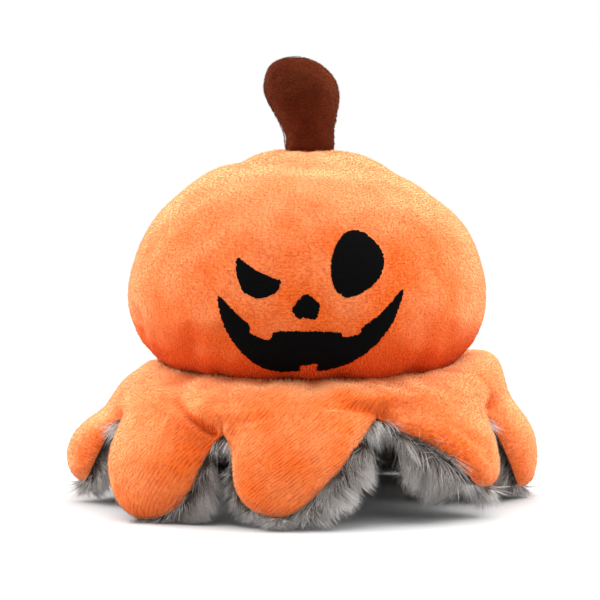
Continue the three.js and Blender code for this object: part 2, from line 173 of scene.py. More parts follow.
# The lowest and highest that a settled cloth's puckers go.
PUCKERS = (-0.0016, 0.0008)
# The simulated cloth: steps to a frame, mass of a point in kilograms and how hard it is to bend.
WEAVE_STEPS, WEAVE_MASS, WEAVE_BENDING = 5, 0.0002, 0.02
# How often a settled cloth is softened to find its broad changes, and how often its puckers are on the fine grid.
BROAD_PASSES, FINE_PASSES = 30, 3
# Edges that turn by more degrees than this are kept sharp on a patch, on a leg and on the belly.
PATCH_SHARP, LEG_SHARP, BELLY_SHARP = 50, 62, 60
# Between which heights the head's pile grows in, and between which the stem's does, from the stem's pivot.
HEAD_PILE_FROM, STEM_PILE_FROM = (0.0570, 0.0600), (-0.006, -0.003)
# The crown's pad reaches further to the right, its crease has this half width, and it is shallower in front.
PAD_SHIFT, PAD_CREASE_WIDTH, PAD_CREASE_FRONT = 0.0045, 0.0058, 0.75
# The faint crease in front: depth, half width and the heights between which it fades in.
FRONT_CREASE = (0.0006, 0.0022, 0.118, 0.128)
# Metres of the head's pile for each radian up from its widest height.
HEAD_GRAIN = 0.068
# The belly: rings and columns, radius, rise in the middle, heights of its upper and lower side at its rim.
BELLY_GRID = (18, 72)
BELLY_RADIUS, BELLY_ARCH, BELLY_TOP, BELLY_BOTTOM = 0.0575, 0.004, 0.0545, 0.0505

# A dimple above the nose and one in the stem's end: place, half width and depth.
HEAD_DIMPLE = ((-0.0031, -0.0755, 0.1085), 0.0040, 0.0007)
STEM_DIMPLE = ((-0.0126, -0.0105, 0.1822), 0.0022, 0.0013)
# Where the head's stuffing has settled, how far round there and how deep.
SAG_PLACE, SAG_SIZE, SAG_DEPTH = (0.050, 0.0, 0.134), (0.020, 0.034, 0.016), 0.0020
# How far the stem stands to the right of the head's middle, and how high it reaches its full flare.
STEM_SHIFT, STEM_FLARE_HEIGHT = 0.0009, 0.0235
# Columns and rows of the stem's cloth and of the sheet that its pile grows on.
STEM_GRID, STEM_PILE_GRID = (96, 72), (48, 36)
# How far from its pivot the stem starts to bend and has fully bent, in height.
STEM_BEND_FROM, STEM_BEND_TO = -0.004, 0.006

# The cloths: which of the settings' colours lies deep, darkened by dim, which is the body and which is pale, the sheen,
# the pitch and depth of the lying pile in metres, and how far it lies in rows rather than in specks.
# The deep colour is also painted shade, facing down and in folds; the pale one is also painted light, facing up and
# seen from the side.
VELBOA = dict(deep="orange_deep", dim=1.0, body="orange", pale="orange_pale", sheen=0.5)
CLOTHS = {
    "orange velboa": dict(VELBOA, pitch=0.00135, depth=0.00024, rows=0.80),
    "orange velboa, specked": dict(VELBOA, pitch=0.0015, depth=0.00013, rows=0.30),
    "brown velboa": dict(
        deep="brown", dim=0.6, body="brown", pale="brown_pale", sheen=0.08, pitch=0.0014, depth=0.00028, rows=0.30
    ),
    "grey knitted ground": dict(
        deep="fur_root", dim=0.55, body="fur_root", pale="fur_middle", sheen=0.05, pitch=0.0012, depth=0.0004, rows=0.80
    ),
}
# The strands: their colours, the root's darkened by dim, the sheen, how much one differs from the next, the share that
# is dark at the root, and a painted sheen: how much paler they are painted where the cloth is seen from the side.
HAIRS = {
    "orange pile": dict(
        root="orange", dim=1.0, middle="orange", tip="orange_pale", sheen=0.12, spread=0.40, dark=0.30, painted_sheen=0.7
    ),
    "brown pile": dict(
        root="brown", dim=0.6, middle="brown", tip="brown_pale", sheen=0.15, spread=0.7, dark=0.42, painted_sheen=0.0
    ),
    "grey fur": dict(
        root="fur_root", dim=1.0, middle="fur_middle", tip="fur_tip", sheen=0.10, spread=0.85, dark=0.42, painted_sheen=0.0
    ),
}
# How strands grow: their colouring, which of the settings' two sizes they have and times what, and how they lie.
PILES = {
    "velboa": dict(hair="orange pile", of="pile", density=1.0, length=1.0, radius=1.0, inputs={
        "Segments": 1, "Curl": 0.0, "Lift": 0.45, "Clump size": 0.0022, "Clump pull": 0.35, "Frizz": 0.30,
        "Shortest": 0.45,
    }),
    "stem velboa": dict(hair="brown pile", of="pile", density=1.6, length=0.75, radius=0.85, inputs={
        "Segments": 1, "Curl": 0.0, "Lift": 0.6, "Clump size": 0.0018, "Clump pull": 0.3, "Frizz": 0.3,
        "Shortest": 0.45,
    }),
    "leg fur": dict(hair="grey fur", of="fur", density=1.0, length=1.0, radius=1.0, inputs={
        "Segments": 2, "Curl": 0.55, "Lift": 0.80, "Clump size": 0.0036, "Clump pull": 0.36, "Clump stray": 0.80,
        "Frizz": 0.26, "Shortest": 0.50,
    }),
    "belly fur": dict(hair="grey fur", of="fur", density=0.5, length=1.0, radius=1.25, inputs={
        "Segments": 2, "Curl": 0.25, "Lift": 0.8, "Clump size": 0.0055, "Clump pull": 0.35, "Clump stray": 0.6,
        "Frizz": 0.15, "Shortest": 0.55,
    }),
}
# What the strands read from the sheet that they grow on. Their own mesh has no use for it.
GROUND_ATTRIBUTES = ("flow", "grain", "growth", "reach", "shun", "free", "bloom")


# ---------------------------------------------------------------- sizes and colours that a user would change


def length(name, description, default, low=0.0, high=1.0):
    """A length property in metres."""
    return bpy.props.FloatProperty(
        name=name, description=description, default=default, min=low, max=high, unit="LENGTH", precision=5
    )


def share(name, description, default, low=0.0, high=1.0):
    """A plain number property."""
    return bpy.props.FloatProperty(name=name, description=description, default=default, min=low, max=high)


def count(name, description, default, low=1, high=400000):
    """A whole number property."""
    return bpy.props.IntProperty(name=name, description=description, default=default, min=low, max=high)


def angle(name, description, degrees):
    """An angle property, given here in degrees."""
    return bpy.props.FloatProperty(
        name=name, description=description, default=math.radians(degrees), subtype="ANGLE"
    )


def colour(name, description, default):
    """A colour property."""
    return bpy.props.FloatVectorProperty(
        name=name, description=description, default=default, size=3, subtype="COLOR", min=0.0, max=1.0
    )


class HeadSizes(bpy.types.PropertyGroup):
    """Sizes of the stuffed head and its stem."""

    radius: length("Radius", "Radius of the head at its widest", 0.0763)
    offset: length("Offset", "How far the head's middle stands to the right", 0.0021)
    middle: length("Middle height", "Height at which the head is widest", 0.0890)
    crown_rise: length("Crown rise", "Rise from the widest height to the crown", 0.0620)
    lower_depth: length("Lower depth", "Depth of the ellipse that forms the head's lower half", 0.0500)
    neck_height: length("Neck height", "Height at which the head goes into the skirt", 0.0555)
    pad_radius: length("Crown pad radius", "Radius of the raised pad on the crown", 0.0335)
    pad_crease: length("Crown pad crease", "Depth of the crease round the crown pad", 0.0017)
    columns: count("Columns", "Mesh columns round the head", 255)
    rows: count("Rows", "Mesh rows from the neck to the crown", 127)
    stem_pivot: length("Stem pivot", "Height of the point that the stem bends about", 0.1540)
    stem_rise: length("Stem rise", "Length of the stem above its pivot", 0.0365)
    stem_base: length("Stem base radius", "Radius of the stem where it leaves the crown", 0.0104)
    stem_flare: length("Stem flare radius", "Radius of the stem's swollen end", 0.0161)
    stem_lean: length("Stem lean", "How far the stem's end leans to the left", 0.0065)


class LegSizes(bpy.types.PropertyGroup):
    """Sizes of the skirt and its eight stuffed legs."""

    thickness: length("Thickness", "How far the orange side of a leg swells", 0.0105)
    shoulder: length("Shoulder thickness", "How far the skirt swells above the forks", 0.0080)
    seam: length("Neck thickness", "How far the skirt swells at the neck seam", 0.0046)
    lining: length("Lining thickness", "How far the furry side of a leg swells", 0.0050)
    columns: count("Columns", "Mesh columns across a leg", 60)
    skirt_rows: count("Skirt rows", "Mesh rows from the neck to the forks", 30)
    leg_rows: count("Leg rows", "Mesh rows from the forks to a foot", 60)


class FurSizes(bpy.types.PropertyGroup):
    """Lengths and densities of the two kinds of pile."""

    pile_length: length("Pile length", "Length of the short orange and brown pile", 0.0016)
    pile_radius: length("Pile tuft radius", "Radius of one tuft of short pile at its root", 0.00013)
    pile_density: share("Pile density", "Tufts of short pile on a square metre", 1.25e6, high=1e8)
    fur_length: length("Fur length", "Length of the grey fur", 0.0140)
    fur_radius: length("Fur strand radius", "Radius of one strand of fur at its root", 0.00026)
    fur_density: share("Fur density", "Strands of fur on a square metre", 2.6e6, high=1e8)
    seed: count("Seed", "Seed of everything scattered", 7)


class PaddingSizes(bpy.types.PropertyGroup):
    """How the stuffed pieces' cloth is simulated."""

    step: count("Step", "Points of the finished grid to one of the simulated cloth", 3, high=10)
    frames: count("Frames", "Frames that the cloth is given to settle", 16, high=250)
    stiffness: share("Stiffness", "How hard the cloth is to stretch", 15.0, high=1000)
    slack: share("Slack", "Share by which the cloth is cut too large", 0.03)
    pressure: share("Pressure", "How hard the stuffing blows the cloth out, in pascals", 20.0, high=1000)


class PlushColours(bpy.types.PropertyGroup):
    """Colours of the fabrics. The cloths' deep and pale colours are also painted on them as shade and light."""

    orange: colour("Orange", "The velboa's own colour", (0.79, 0.147, 0.020))
    # Also painted shade on the velboa: facing down, in folds and along the neck seam.
    orange_deep: colour("Deep orange", "Velboa between its tufts and in folds", (0.52, 0.038, 0.003))
    # Also painted light on the velboa: facing up and where it is seen from the side.
    orange_pale: colour("Pale orange", "Tips of the velboa's pile", (0.93, 0.535, 0.262))
    brown: colour("Brown", "The stem's plush", (0.085, 0.013, 0.0040))
    # Also a painted sheen on the stem, where it is seen from the side.
    brown_pale: colour("Pale brown", "Tips of the stem's pile", (0.250, 0.066, 0.024))
    black: colour("Black", "The face's cloth", (0.0016, 0.0016, 0.0017))
    fur_root: colour("Fur root", "Grey fur at its root", (0.034, 0.022, 0.017))
    fur_middle: colour("Fur middle", "Grey fur half way up", (0.620, 0.555, 0.505))
    fur_tip: colour("Fur tip", "Frosted tips of the grey fur", (1.000, 0.985, 0.970))
    vinyl: colour("Vinyl", "The squeaker's plastic", (0.82, 0.80, 0.74))


class StudioSettings(bpy.types.PropertyGroup):
    """Camera and light."""

    distance: length("Distance", "From the camera to the point it looks at", 1.300, high=10)
    elevation: angle("Elevation", "The camera's height above the horizon", 4.0)
    aim: bpy.props.FloatVectorProperty(
        name="Aim", description="Point that the camera looks at", default=(-0.0011, 0.0, 0.0863), size=3, unit="LENGTH"
    )
    field: length("Field", "Width that the picture shows at that point", 0.258, high=10)
    floor: colour("Floor", "The plain pale floor", (0.575, 0.575, 0.575))
    key: share("Key light", "Strength of the wide soft light overhead, in watts on a square metre", 4.25, high=1000)
    fill: share("Fill light", "Power of the light beside the camera, in watts", 1.2, high=1000)
    rim: share("Rim lights", "Power of each light beside and behind the toy, in watts", 18.0, high=1000)
    sky: share("Sky", "Strength of the white surroundings", 0.45, high=10)


# ---------------------------------------------------------------- small tools


def smooth(low, high, value):
    """0 below low, 1 above high and a smooth step between."""
    t = np.clip((np.asarray(value, float) - low) / (high - low), 0.0, 1.0)
    return t * t * (3 - 2 * t)


def bell(value):
    """1 at nought, falling off on both sides to nearly nought at 2."""
    return np.exp(-(value**2))


def away_from(bearing, theta):
    """How far theta lies from a bearing in degrees, from -pi to pi."""
    return (theta - math.radians(bearing) + math.pi) % (2 * math.pi) - math.pi


def lumps(points, kinds, index=0):
    """How far each point rises or sinks by those kinds of smooth bumps and hollows, others for each index."""
    total = 0.0
    for height, width, seed in kinds:
        shift = Vector([(seed + index) * step for step in (3.7, 1.9, 5.3)])
        values = [noise.noise(Vector(p) + shift) for p in points.reshape(-1, 3) / width]
        total = total + height * np.array(values).reshape(points.shape[:-1])
    return total


def dimple(points, place, width, depth):
    """How deep each point of a surface lies in a dimple at that place."""
    return depth * bell(np.linalg.norm(points - np.array(place), axis=-1) / width)


def unit(vectors):
    """Vectors scaled to a length of 1."""
    return vectors / np.maximum(np.linalg.norm(vectors, axis=-1, keepdims=True), 1e-12)


def grid_quads(rows, columns, closed=False, start=0):
    """Faces of a grid of rows of points, each row one after the other."""
    return [
        (here + c, here + (c + 1) % columns, here + columns + (c + 1) % columns, here + columns + c)
        for here in range(start, start + (rows - 1) * columns, columns)
        for c in range(columns if closed else columns - 1)
    ]


def new_object(name, data):
    """An object at the origin, in the scene."""
    made = bpy.data.objects.new(name, data)
    bpy.context.scene.collection.objects.link(made)
    return made


def add_attribute(mesh, name, values, domain="POINT"):
    """An attribute of numbers or of vectors."""
    values = np.asarray(values)
    is_vector = values.ndim > 1 and values.shape[-1] == 3
    layer = mesh.attributes.new(name, "FLOAT_VECTOR" if is_vector else "FLOAT", domain)
    layer.data.foreach_set("vector" if is_vector else "value", values.astype(np.float32).ravel())


def piece(name, points, faces, material=None, attributes=None, grain=None, period=None):
    """A smooth mesh object at the origin, in the scene. grain is the pile's own coordinates, kept for each corner,
    so that they can run on over the line where they come round to their start again, a period later."""
    mesh = bpy.data.meshes.new(name)
    mesh.from_pydata([tuple(p) for p in np.asarray(points).reshape(-1, 3)], [], faces)
    mesh.polygons.foreach_set("use_smooth", [True] * len(mesh.polygons))
    for key, values in (attributes or {}).items():
        add_attribute(mesh, key, values)
    if grain is not None:
        counts = np.array([len(f) for f in faces])
        values = np.asarray(grain).reshape(-1, 3)[np.concatenate([np.asarray(f) for f in faces])]
        if period:
            starts = np.repeat(np.cumsum(counts) - counts, counts)
            values[:, 0] += period * np.round((values[starts, 0] - values[:, 0]) / period)
        add_attribute(mesh, "grain", values, "CORNER")
    if material:
        mesh.materials.append(material)
    mesh.update()
    return new_object(name, mesh)


def ground_sheet(grid, closed=False, **attributes):
    """A sheet for strands to grow on, with the attributes that they read from it."""
    return piece("ground", grid, grid_quads(*grid.shape[:2], closed=closed), attributes=attributes)


def tidy_shell(made, sharp):
    """Merges doubles, turns the faces outward and keeps the edges that are sharper than the degrees given."""
    work = bmesh.new()
    work.from_mesh(made.data)
    bmesh.ops.remove_doubles(work, verts=work.verts, dist=1e-6)
    bmesh.ops.dissolve_degenerate(work, edges=work.edges, dist=1e-7)
    bmesh.ops.recalc_face_normals(work, faces=work.faces)
    for edge in work.edges:
        edge.smooth = not (len(edge.link_faces) == 2 and edge.calc_face_angle(0.0) > math.radians(sharp))
    work.to_mesh(made.data)
    work.free()
    return made


def outward_normals(grid, closed):
    """The unit normals of a grid of points, on the side away from the toy's axis."""
    across = np.roll(grid, -1, 1) - np.roll(grid, 1, 1) if closed else np.gradient(grid, axis=1)
    normals = unit(np.cross(across, np.gradient(grid, axis=0)))
    away = np.sum(normals[..., :2] * (grid[..., :2] - np.array([0.002, 0.0])))
    return normals if away > 0 else -normals


def bloom_of(grid, closed):
    """Painted light and shade: above nought paler where a surface faces up, below nought deeper where it faces down."""
    up = outward_normals(grid, closed)[..., 2]
    return 0.20 * smooth(0.32, 0.95, up) - 0.80 * smooth(0.10, 0.70, -up)


def onward(points):
    """The direction from each row of a grid of points to the next."""
    return unit(np.gradient(points, axis=0))


# ---------------------------------------------------------------- node tools and shared effects


def made_once(build):
    """Wraps what makes a material or a node group, so that a second call finds the first one's by its name."""

    @functools.wraps(build)
    def find(name):
        return bpy.data.materials.get(name) or bpy.data.node_groups.get(name) or build(name)

    return find


class Nodes:
    """Adds nodes to one tree. The value for an input may be another node's output."""

    def __init__(self, tree):
        self.tree = tree

    def feed(self, node, inputs):
        """Sets or links a node's inputs, by name or by number."""
        for name, value in inputs.items():
            if isinstance(value, bpy.types.NodeSocket):
                self.tree.links.new(value, node.inputs[name])
            else:
                node.inputs[name].default_value = value
        return node

    def add(self, kind, inputs=None, output=0, **settings):
        """A new node's output, or all of them for None, its settings made and its inputs fed."""
        node = self.tree.nodes.new(kind)
        for name, value in settings.items():
            setattr(node, name, value)
        outputs = self.feed(node, inputs or {}).outputs
        return outputs if output is None else outputs[output]

    def maths(self, operation, *values):
        """A Math node."""
        return self.add("ShaderNodeMath", dict(enumerate(values)), operation=operation)

    def times(self, first, second):
        """A product."""
        return self.maths("MULTIPLY", first, second)

    def line(self, value, slope, start):
        """The value times slope, plus start."""
        return self.maths("MULTIPLY_ADD", value, slope, start)

    def at_least(self, value, low):
        """The value, or low where that is more."""
        return self.maths("MAXIMUM", value, low)

    def vectors(self, operation, first, second=(0.0, 0.0, 0.0)):
        """A Vector Math node. SCALE takes a number second, and DOT_PRODUCT and LENGTH give one."""
        other = "Scale" if operation == "SCALE" else 1
        output = "Value" if operation in ("DOT_PRODUCT", "LENGTH") else "Vector"
        return self.add("ShaderNodeVectorMath", {0: first, other: second}, output, operation=operation)

    def noise(self, vector, scale, detail=2.0, roughness=0.5, output=0):
        """A noise texture."""
        inputs = {"Vector": vector, "Scale": scale, "Detail": detail, "Roughness": roughness}
        return self.add("ShaderNodeTexNoise", inputs, output)

    def eased(self, value, low, high):
        """0 below low, 1 above high and a smooth step between."""
        inputs = {"Value": value, "From Min": low, "From Max": high}
        return self.add("ShaderNodeMapRange", inputs, interpolation_type="SMOOTHSTEP")

    def mixed(self, factor, first, second):
        """A colour mixed from two."""
        return self.add("ShaderNodeMix", {"Factor": factor, 6: first, 7: second}, 2, data_type="RGBA")

    def attribute(self, name, output="Fac"):
        """An attribute of a mesh, in a material."""
        return self.add("ShaderNodeAttribute", None, output, attribute_name=name)

    def field(self, name, kind="FLOAT"):
        """An attribute of a mesh, in Geometry Nodes."""
        return self.add("GeometryNodeInputNamedAttribute", {"Name": name}, data_type=kind)

    def stored(self, geometry, name, value, kind, domain):
        """Geometry with one more attribute."""
        inputs = {"Geometry": geometry, "Name": name, "Value": value}
        return self.add("GeometryNodeStoreNamedAttribute", inputs, data_type=kind, domain=domain)

    def without(self, points, selection):
        """Points without those selected."""
        inputs = {"Geometry": points, "Selection": selection}
        return self.add("GeometryNodeDeleteGeometry", inputs, domain="POINT")

    def random(self, low, seed):
        """A random number from low to 1 for each point."""
        return self.add("FunctionNodeRandomValue", {2: low, 3: 1.0, "Seed": seed}, 1, data_type="FLOAT")

    def exposed(self, bloom, least):
        """1 where the pile lies open, and down to least where its painted shade falls, in folds and underneath."""
        return self.at_least(self.line(self.maths("MINIMUM", bloom, 0.0), 1.6, 1.0), least)

    def grazing(self, inputs=None):
        """Nearly 1 where a surface is seen from the side, and soon nought away from there."""
        return self.maths("POWER", self.add("ShaderNodeLayerWeight", {"Blend": 0.5, **(inputs or {})}, "Facing"), 2.6)


def new_group(name, kind, inputs, outputs):
    """An empty node group: its nodes, what enters and what leaves. An input has a default or the kind of its socket."""
    tree = bpy.data.node_groups.new(name, kind)
    for label, value in inputs.items():
        typed = isinstance(value, str)
        socket_kind = value if typed else type(value).__name__.title()
        socket = tree.interface.new_socket(label, in_out="INPUT", socket_type=f"NodeSocket{socket_kind}")
        if not typed:
            socket.default_value = value
    for label, socket_kind in outputs.items():
        tree.interface.new_socket(label, in_out="OUTPUT", socket_type=f"NodeSocket{socket_kind}")
    return Nodes(tree), tree.nodes.new("NodeGroupInput").outputs, tree.nodes.new("NodeGroupOutput")


@made_once
def pile_relief(name):
    """Short pile as it lies: broken dashes in rows or specks, with fibres on them. Height and a light-dark mottle."""
    n, enter, leave = new_group(
        name, "ShaderNodeTree",
        {"Vector": "Vector", "Row pitch": 0.0019, "Dash length": 0.0036, "Waver": 1.0, "Rows": 0.8},
        {"Height": "Float", "Mottle": "Float"},
    )
    rate = n.maths("DIVIDE", 1.0, enter["Row pitch"])
    stretch = {"X": n.maths("DIVIDE", 1.0, enter["Dash length"]), "Y": rate, "Z": rate}
    drift = n.vectors("SUBTRACT", n.noise(enter["Vector"], 150.0, output="Color"), (0.5, 0.5, 0.5))
    moved = n.vectors("MULTIPLY", enter["Vector"], n.add("ShaderNodeCombineXYZ", stretch))
    placed = n.vectors("ADD", moved, n.vectors("SCALE", drift, enter["Waver"]))
    fibres = n.noise(placed, 3.1, 2.0, 0.6)
    broken = n.eased(n.noise(placed, 1.0), 0.30, 0.66)
    row = n.add("ShaderNodeSeparateXYZ", {0: placed}, "Y")
    wave = n.line(n.maths("SINE", n.times(row, 2 * math.pi)), 0.5, 0.5)
    lines = n.times(n.maths("POWER", wave, 1.6), broken)
    specks = n.eased(n.noise(placed, 1.5, 3.0, 0.65), 0.40, 0.62)
    furrow = n.line(lines, enter["Rows"], n.times(specks, n.maths("SUBTRACT", 1.0, enter["Rows"])))
    n.feed(leave, {
        "Height": n.line(fibres, 0.4, n.maths("SUBTRACT", 1.0, furrow)),
        "Mottle": n.maths("SUBTRACT", n.line(fibres, 0.8, 0.6), furrow),
    })
    return n.tree


@made_once
def fabric_drift(name):
    """Slow changes of tone over a fabric, as handling and folds leave them."""
    n, enter, leave = new_group(name, "ShaderNodeTree", {"Vector": "Vector", "Patch size": 0.02}, {"Drift": "Float"})
    slow = n.noise(enter["Vector"], n.maths("DIVIDE", 1.0, enter["Patch size"]), 3.0)
    n.feed(leave, {"Drift": n.eased(slow, 0.3, 0.7)})
    return n.tree


def tint(name, factor=1.0):
    """One of the settings' colours with its alpha, darkened by the factor."""
    return (*(c * factor for c in getattr(bpy.context.scene.plush_colours, name)), 1.0)


def new_material(name, shown):
    """A material, its nodes and its Principled shader, with a flat colour for the viewport."""
    made = bpy.data.materials.new(name)
    made.use_nodes = True
    made.diffuse_color = shown
    return made, Nodes(made.node_tree), made.node_tree.nodes["Principled BSDF"]


@made_once
def plush_cloth(name):
    """The woven ground and lying pile of a short plush, with painted light and shade in its colour."""
    cloth = CLOTHS[name]
    deep, body, pale = tint(cloth["deep"], cloth["dim"]), tint(cloth["body"]), tint(cloth["pale"])
    made, n, shader = new_material(name, body)
    place = n.add("ShaderNodeTexCoord", None, "Object")
    relief = n.add("ShaderNodeGroup", {
        "Vector": n.attribute("grain", "Vector"), "Row pitch": cloth["pitch"], "Rows": cloth["rows"],
        "Dash length": cloth["pitch"] * (1.2 + 1.6 * cloth["rows"]),
    }, None, node_tree=pile_relief("Pile relief"))
    drift = n.add("ShaderNodeGroup", {"Vector": place}, "Drift", node_tree=fabric_drift("Fabric drift"))
    bloom = n.attribute("bloom")
    # Painted light and shade: above is how far the colour is painted paler where it faces up, below how far it is
    # painted deeper, facing down, in folds and at the neck seam.
    above, below = n.at_least(bloom, 0.0), n.at_least(n.times(bloom, -1.0), 0.0)
    under = n.mixed(below, n.mixed(relief["Mottle"], deep, body), deep)
    # Paler in slow patches, where it faces up, a painted light, and where seen from the side, a painted sheen.
    lit = n.line(n.grazing(), cloth["sheen"] * 1.4, n.line(drift, 0.2, above))
    # Painted shade: in folds and underneath the colour stays deep, neither painted pale nor with a sheen.
    exposed = n.exposed(bloom, 0.0)
    strength = n.at_least(n.line(above, -2.0, 1.0), 0.2)
    bump = {"Height": relief["Height"], "Strength": strength, "Distance": cloth["depth"]}
    n.feed(shader, {
        "Base Color": n.mixed(n.times(lit, exposed), under, pale), "Roughness": 0.9, "Specular IOR Level": 0.02,
        "Sheen Weight": n.times(exposed, cloth["sheen"] * 0.5), "Sheen Roughness": 0.2,
        "Sheen Tint": tuple(c ** 0.8 for c in pale), "Normal": n.add("ShaderNodeBump", bump),
    })
    return made


@made_once
def strand_hair(name):
    """Fibres, coloured from root to tip by the attribute t and from one to the next by tone."""
    hair = HAIRS[name]
    root, middle, tip = tint(hair["root"], hair["dim"]), tint(hair["middle"]), tint(hair["tip"])
    made, n, shader = new_material(name, middle)
    along = n.attribute("t")
    # tone also holds painted light and shade: from the ground, and where one tuft meets the next.
    toned = n.line(n.attribute("tone"), hair["spread"], 1.0 - hair["spread"])
    shade = n.mixed(n.times(n.eased(along, 0.05, hair["dark"] + 0.28), toned), root, middle)
    shade = n.mixed(n.times(n.eased(along, hair["dark"], 0.95), toned), shade, tip)
    # Painted sheen: paler where the cloth under the strand is seen from the side, and less so in painted shade.
    if hair["painted_sheen"]:
        ground = n.attribute("ground", "Vector")
        facing = n.add(
            "ShaderNodeVectorTransform", {"Vector": ground}, vector_type="NORMAL", convert_from="OBJECT",
            convert_to="WORLD",
        )
        side = n.times(n.grazing({"Normal": facing}), n.times(n.vectors("LENGTH", ground), hair["painted_sheen"]))
        shade = n.mixed(side, shade, tip)
    n.feed(shader, {
        "Base Color": shade, "Roughness": 0.62, "Specular IOR Level": 0.08, "Sheen Weight": hair["sheen"],
        "Sheen Roughness": 0.4, "Sheen Tint": tuple(math.sqrt(c) for c in tip),
    })
    return made


@made_once
def black_cloth(name):
    """The close black cloth of the face, with its fine ribs."""
    made, n, shader = new_material(name, tint("black"))
    place = n.add("ShaderNodeTexCoord", None, "Object")
    turned = n.add("ShaderNodeMapping", {"Vector": place, "Rotation": (math.pi / 2, 0.0, 0.0)})
    relief = n.add(
        "ShaderNodeGroup", {"Vector": turned, "Row pitch": 0.0007, "Dash length": 0.0012}, None,
        node_tree=pile_relief("Pile relief"),
    )
    bump = {"Height": relief["Height"], "Strength": 0.6, "Distance": 0.00025}
    n.feed(shader, {
        "Base Color": n.mixed(n.times(relief["Mottle"], 0.5), tint("black"), tint("black", 2.4)),
        "Roughness": 0.95, "Specular IOR Level": 0.02, "Normal": n.add("ShaderNodeBump", bump),
    })
    return made


@made_once
def squeaker_vinyl(name):
    """The squeaker's soft plastic."""
    made, n, shader = new_material(name, tint("vinyl"))
    place = n.add("ShaderNodeTexCoord", None, "Object")
    drift = n.add("ShaderNodeGroup", {"Vector": place}, "Drift", node_tree=fabric_drift("Fabric drift"))
    n.feed(shader, {"Base Color": n.mixed(drift, tint("vinyl", 0.86), tint("vinyl")), "Roughness": 0.42})
    return made


# ---------------------------------------------------------------- pile and fur, scattered by Geometry Nodes


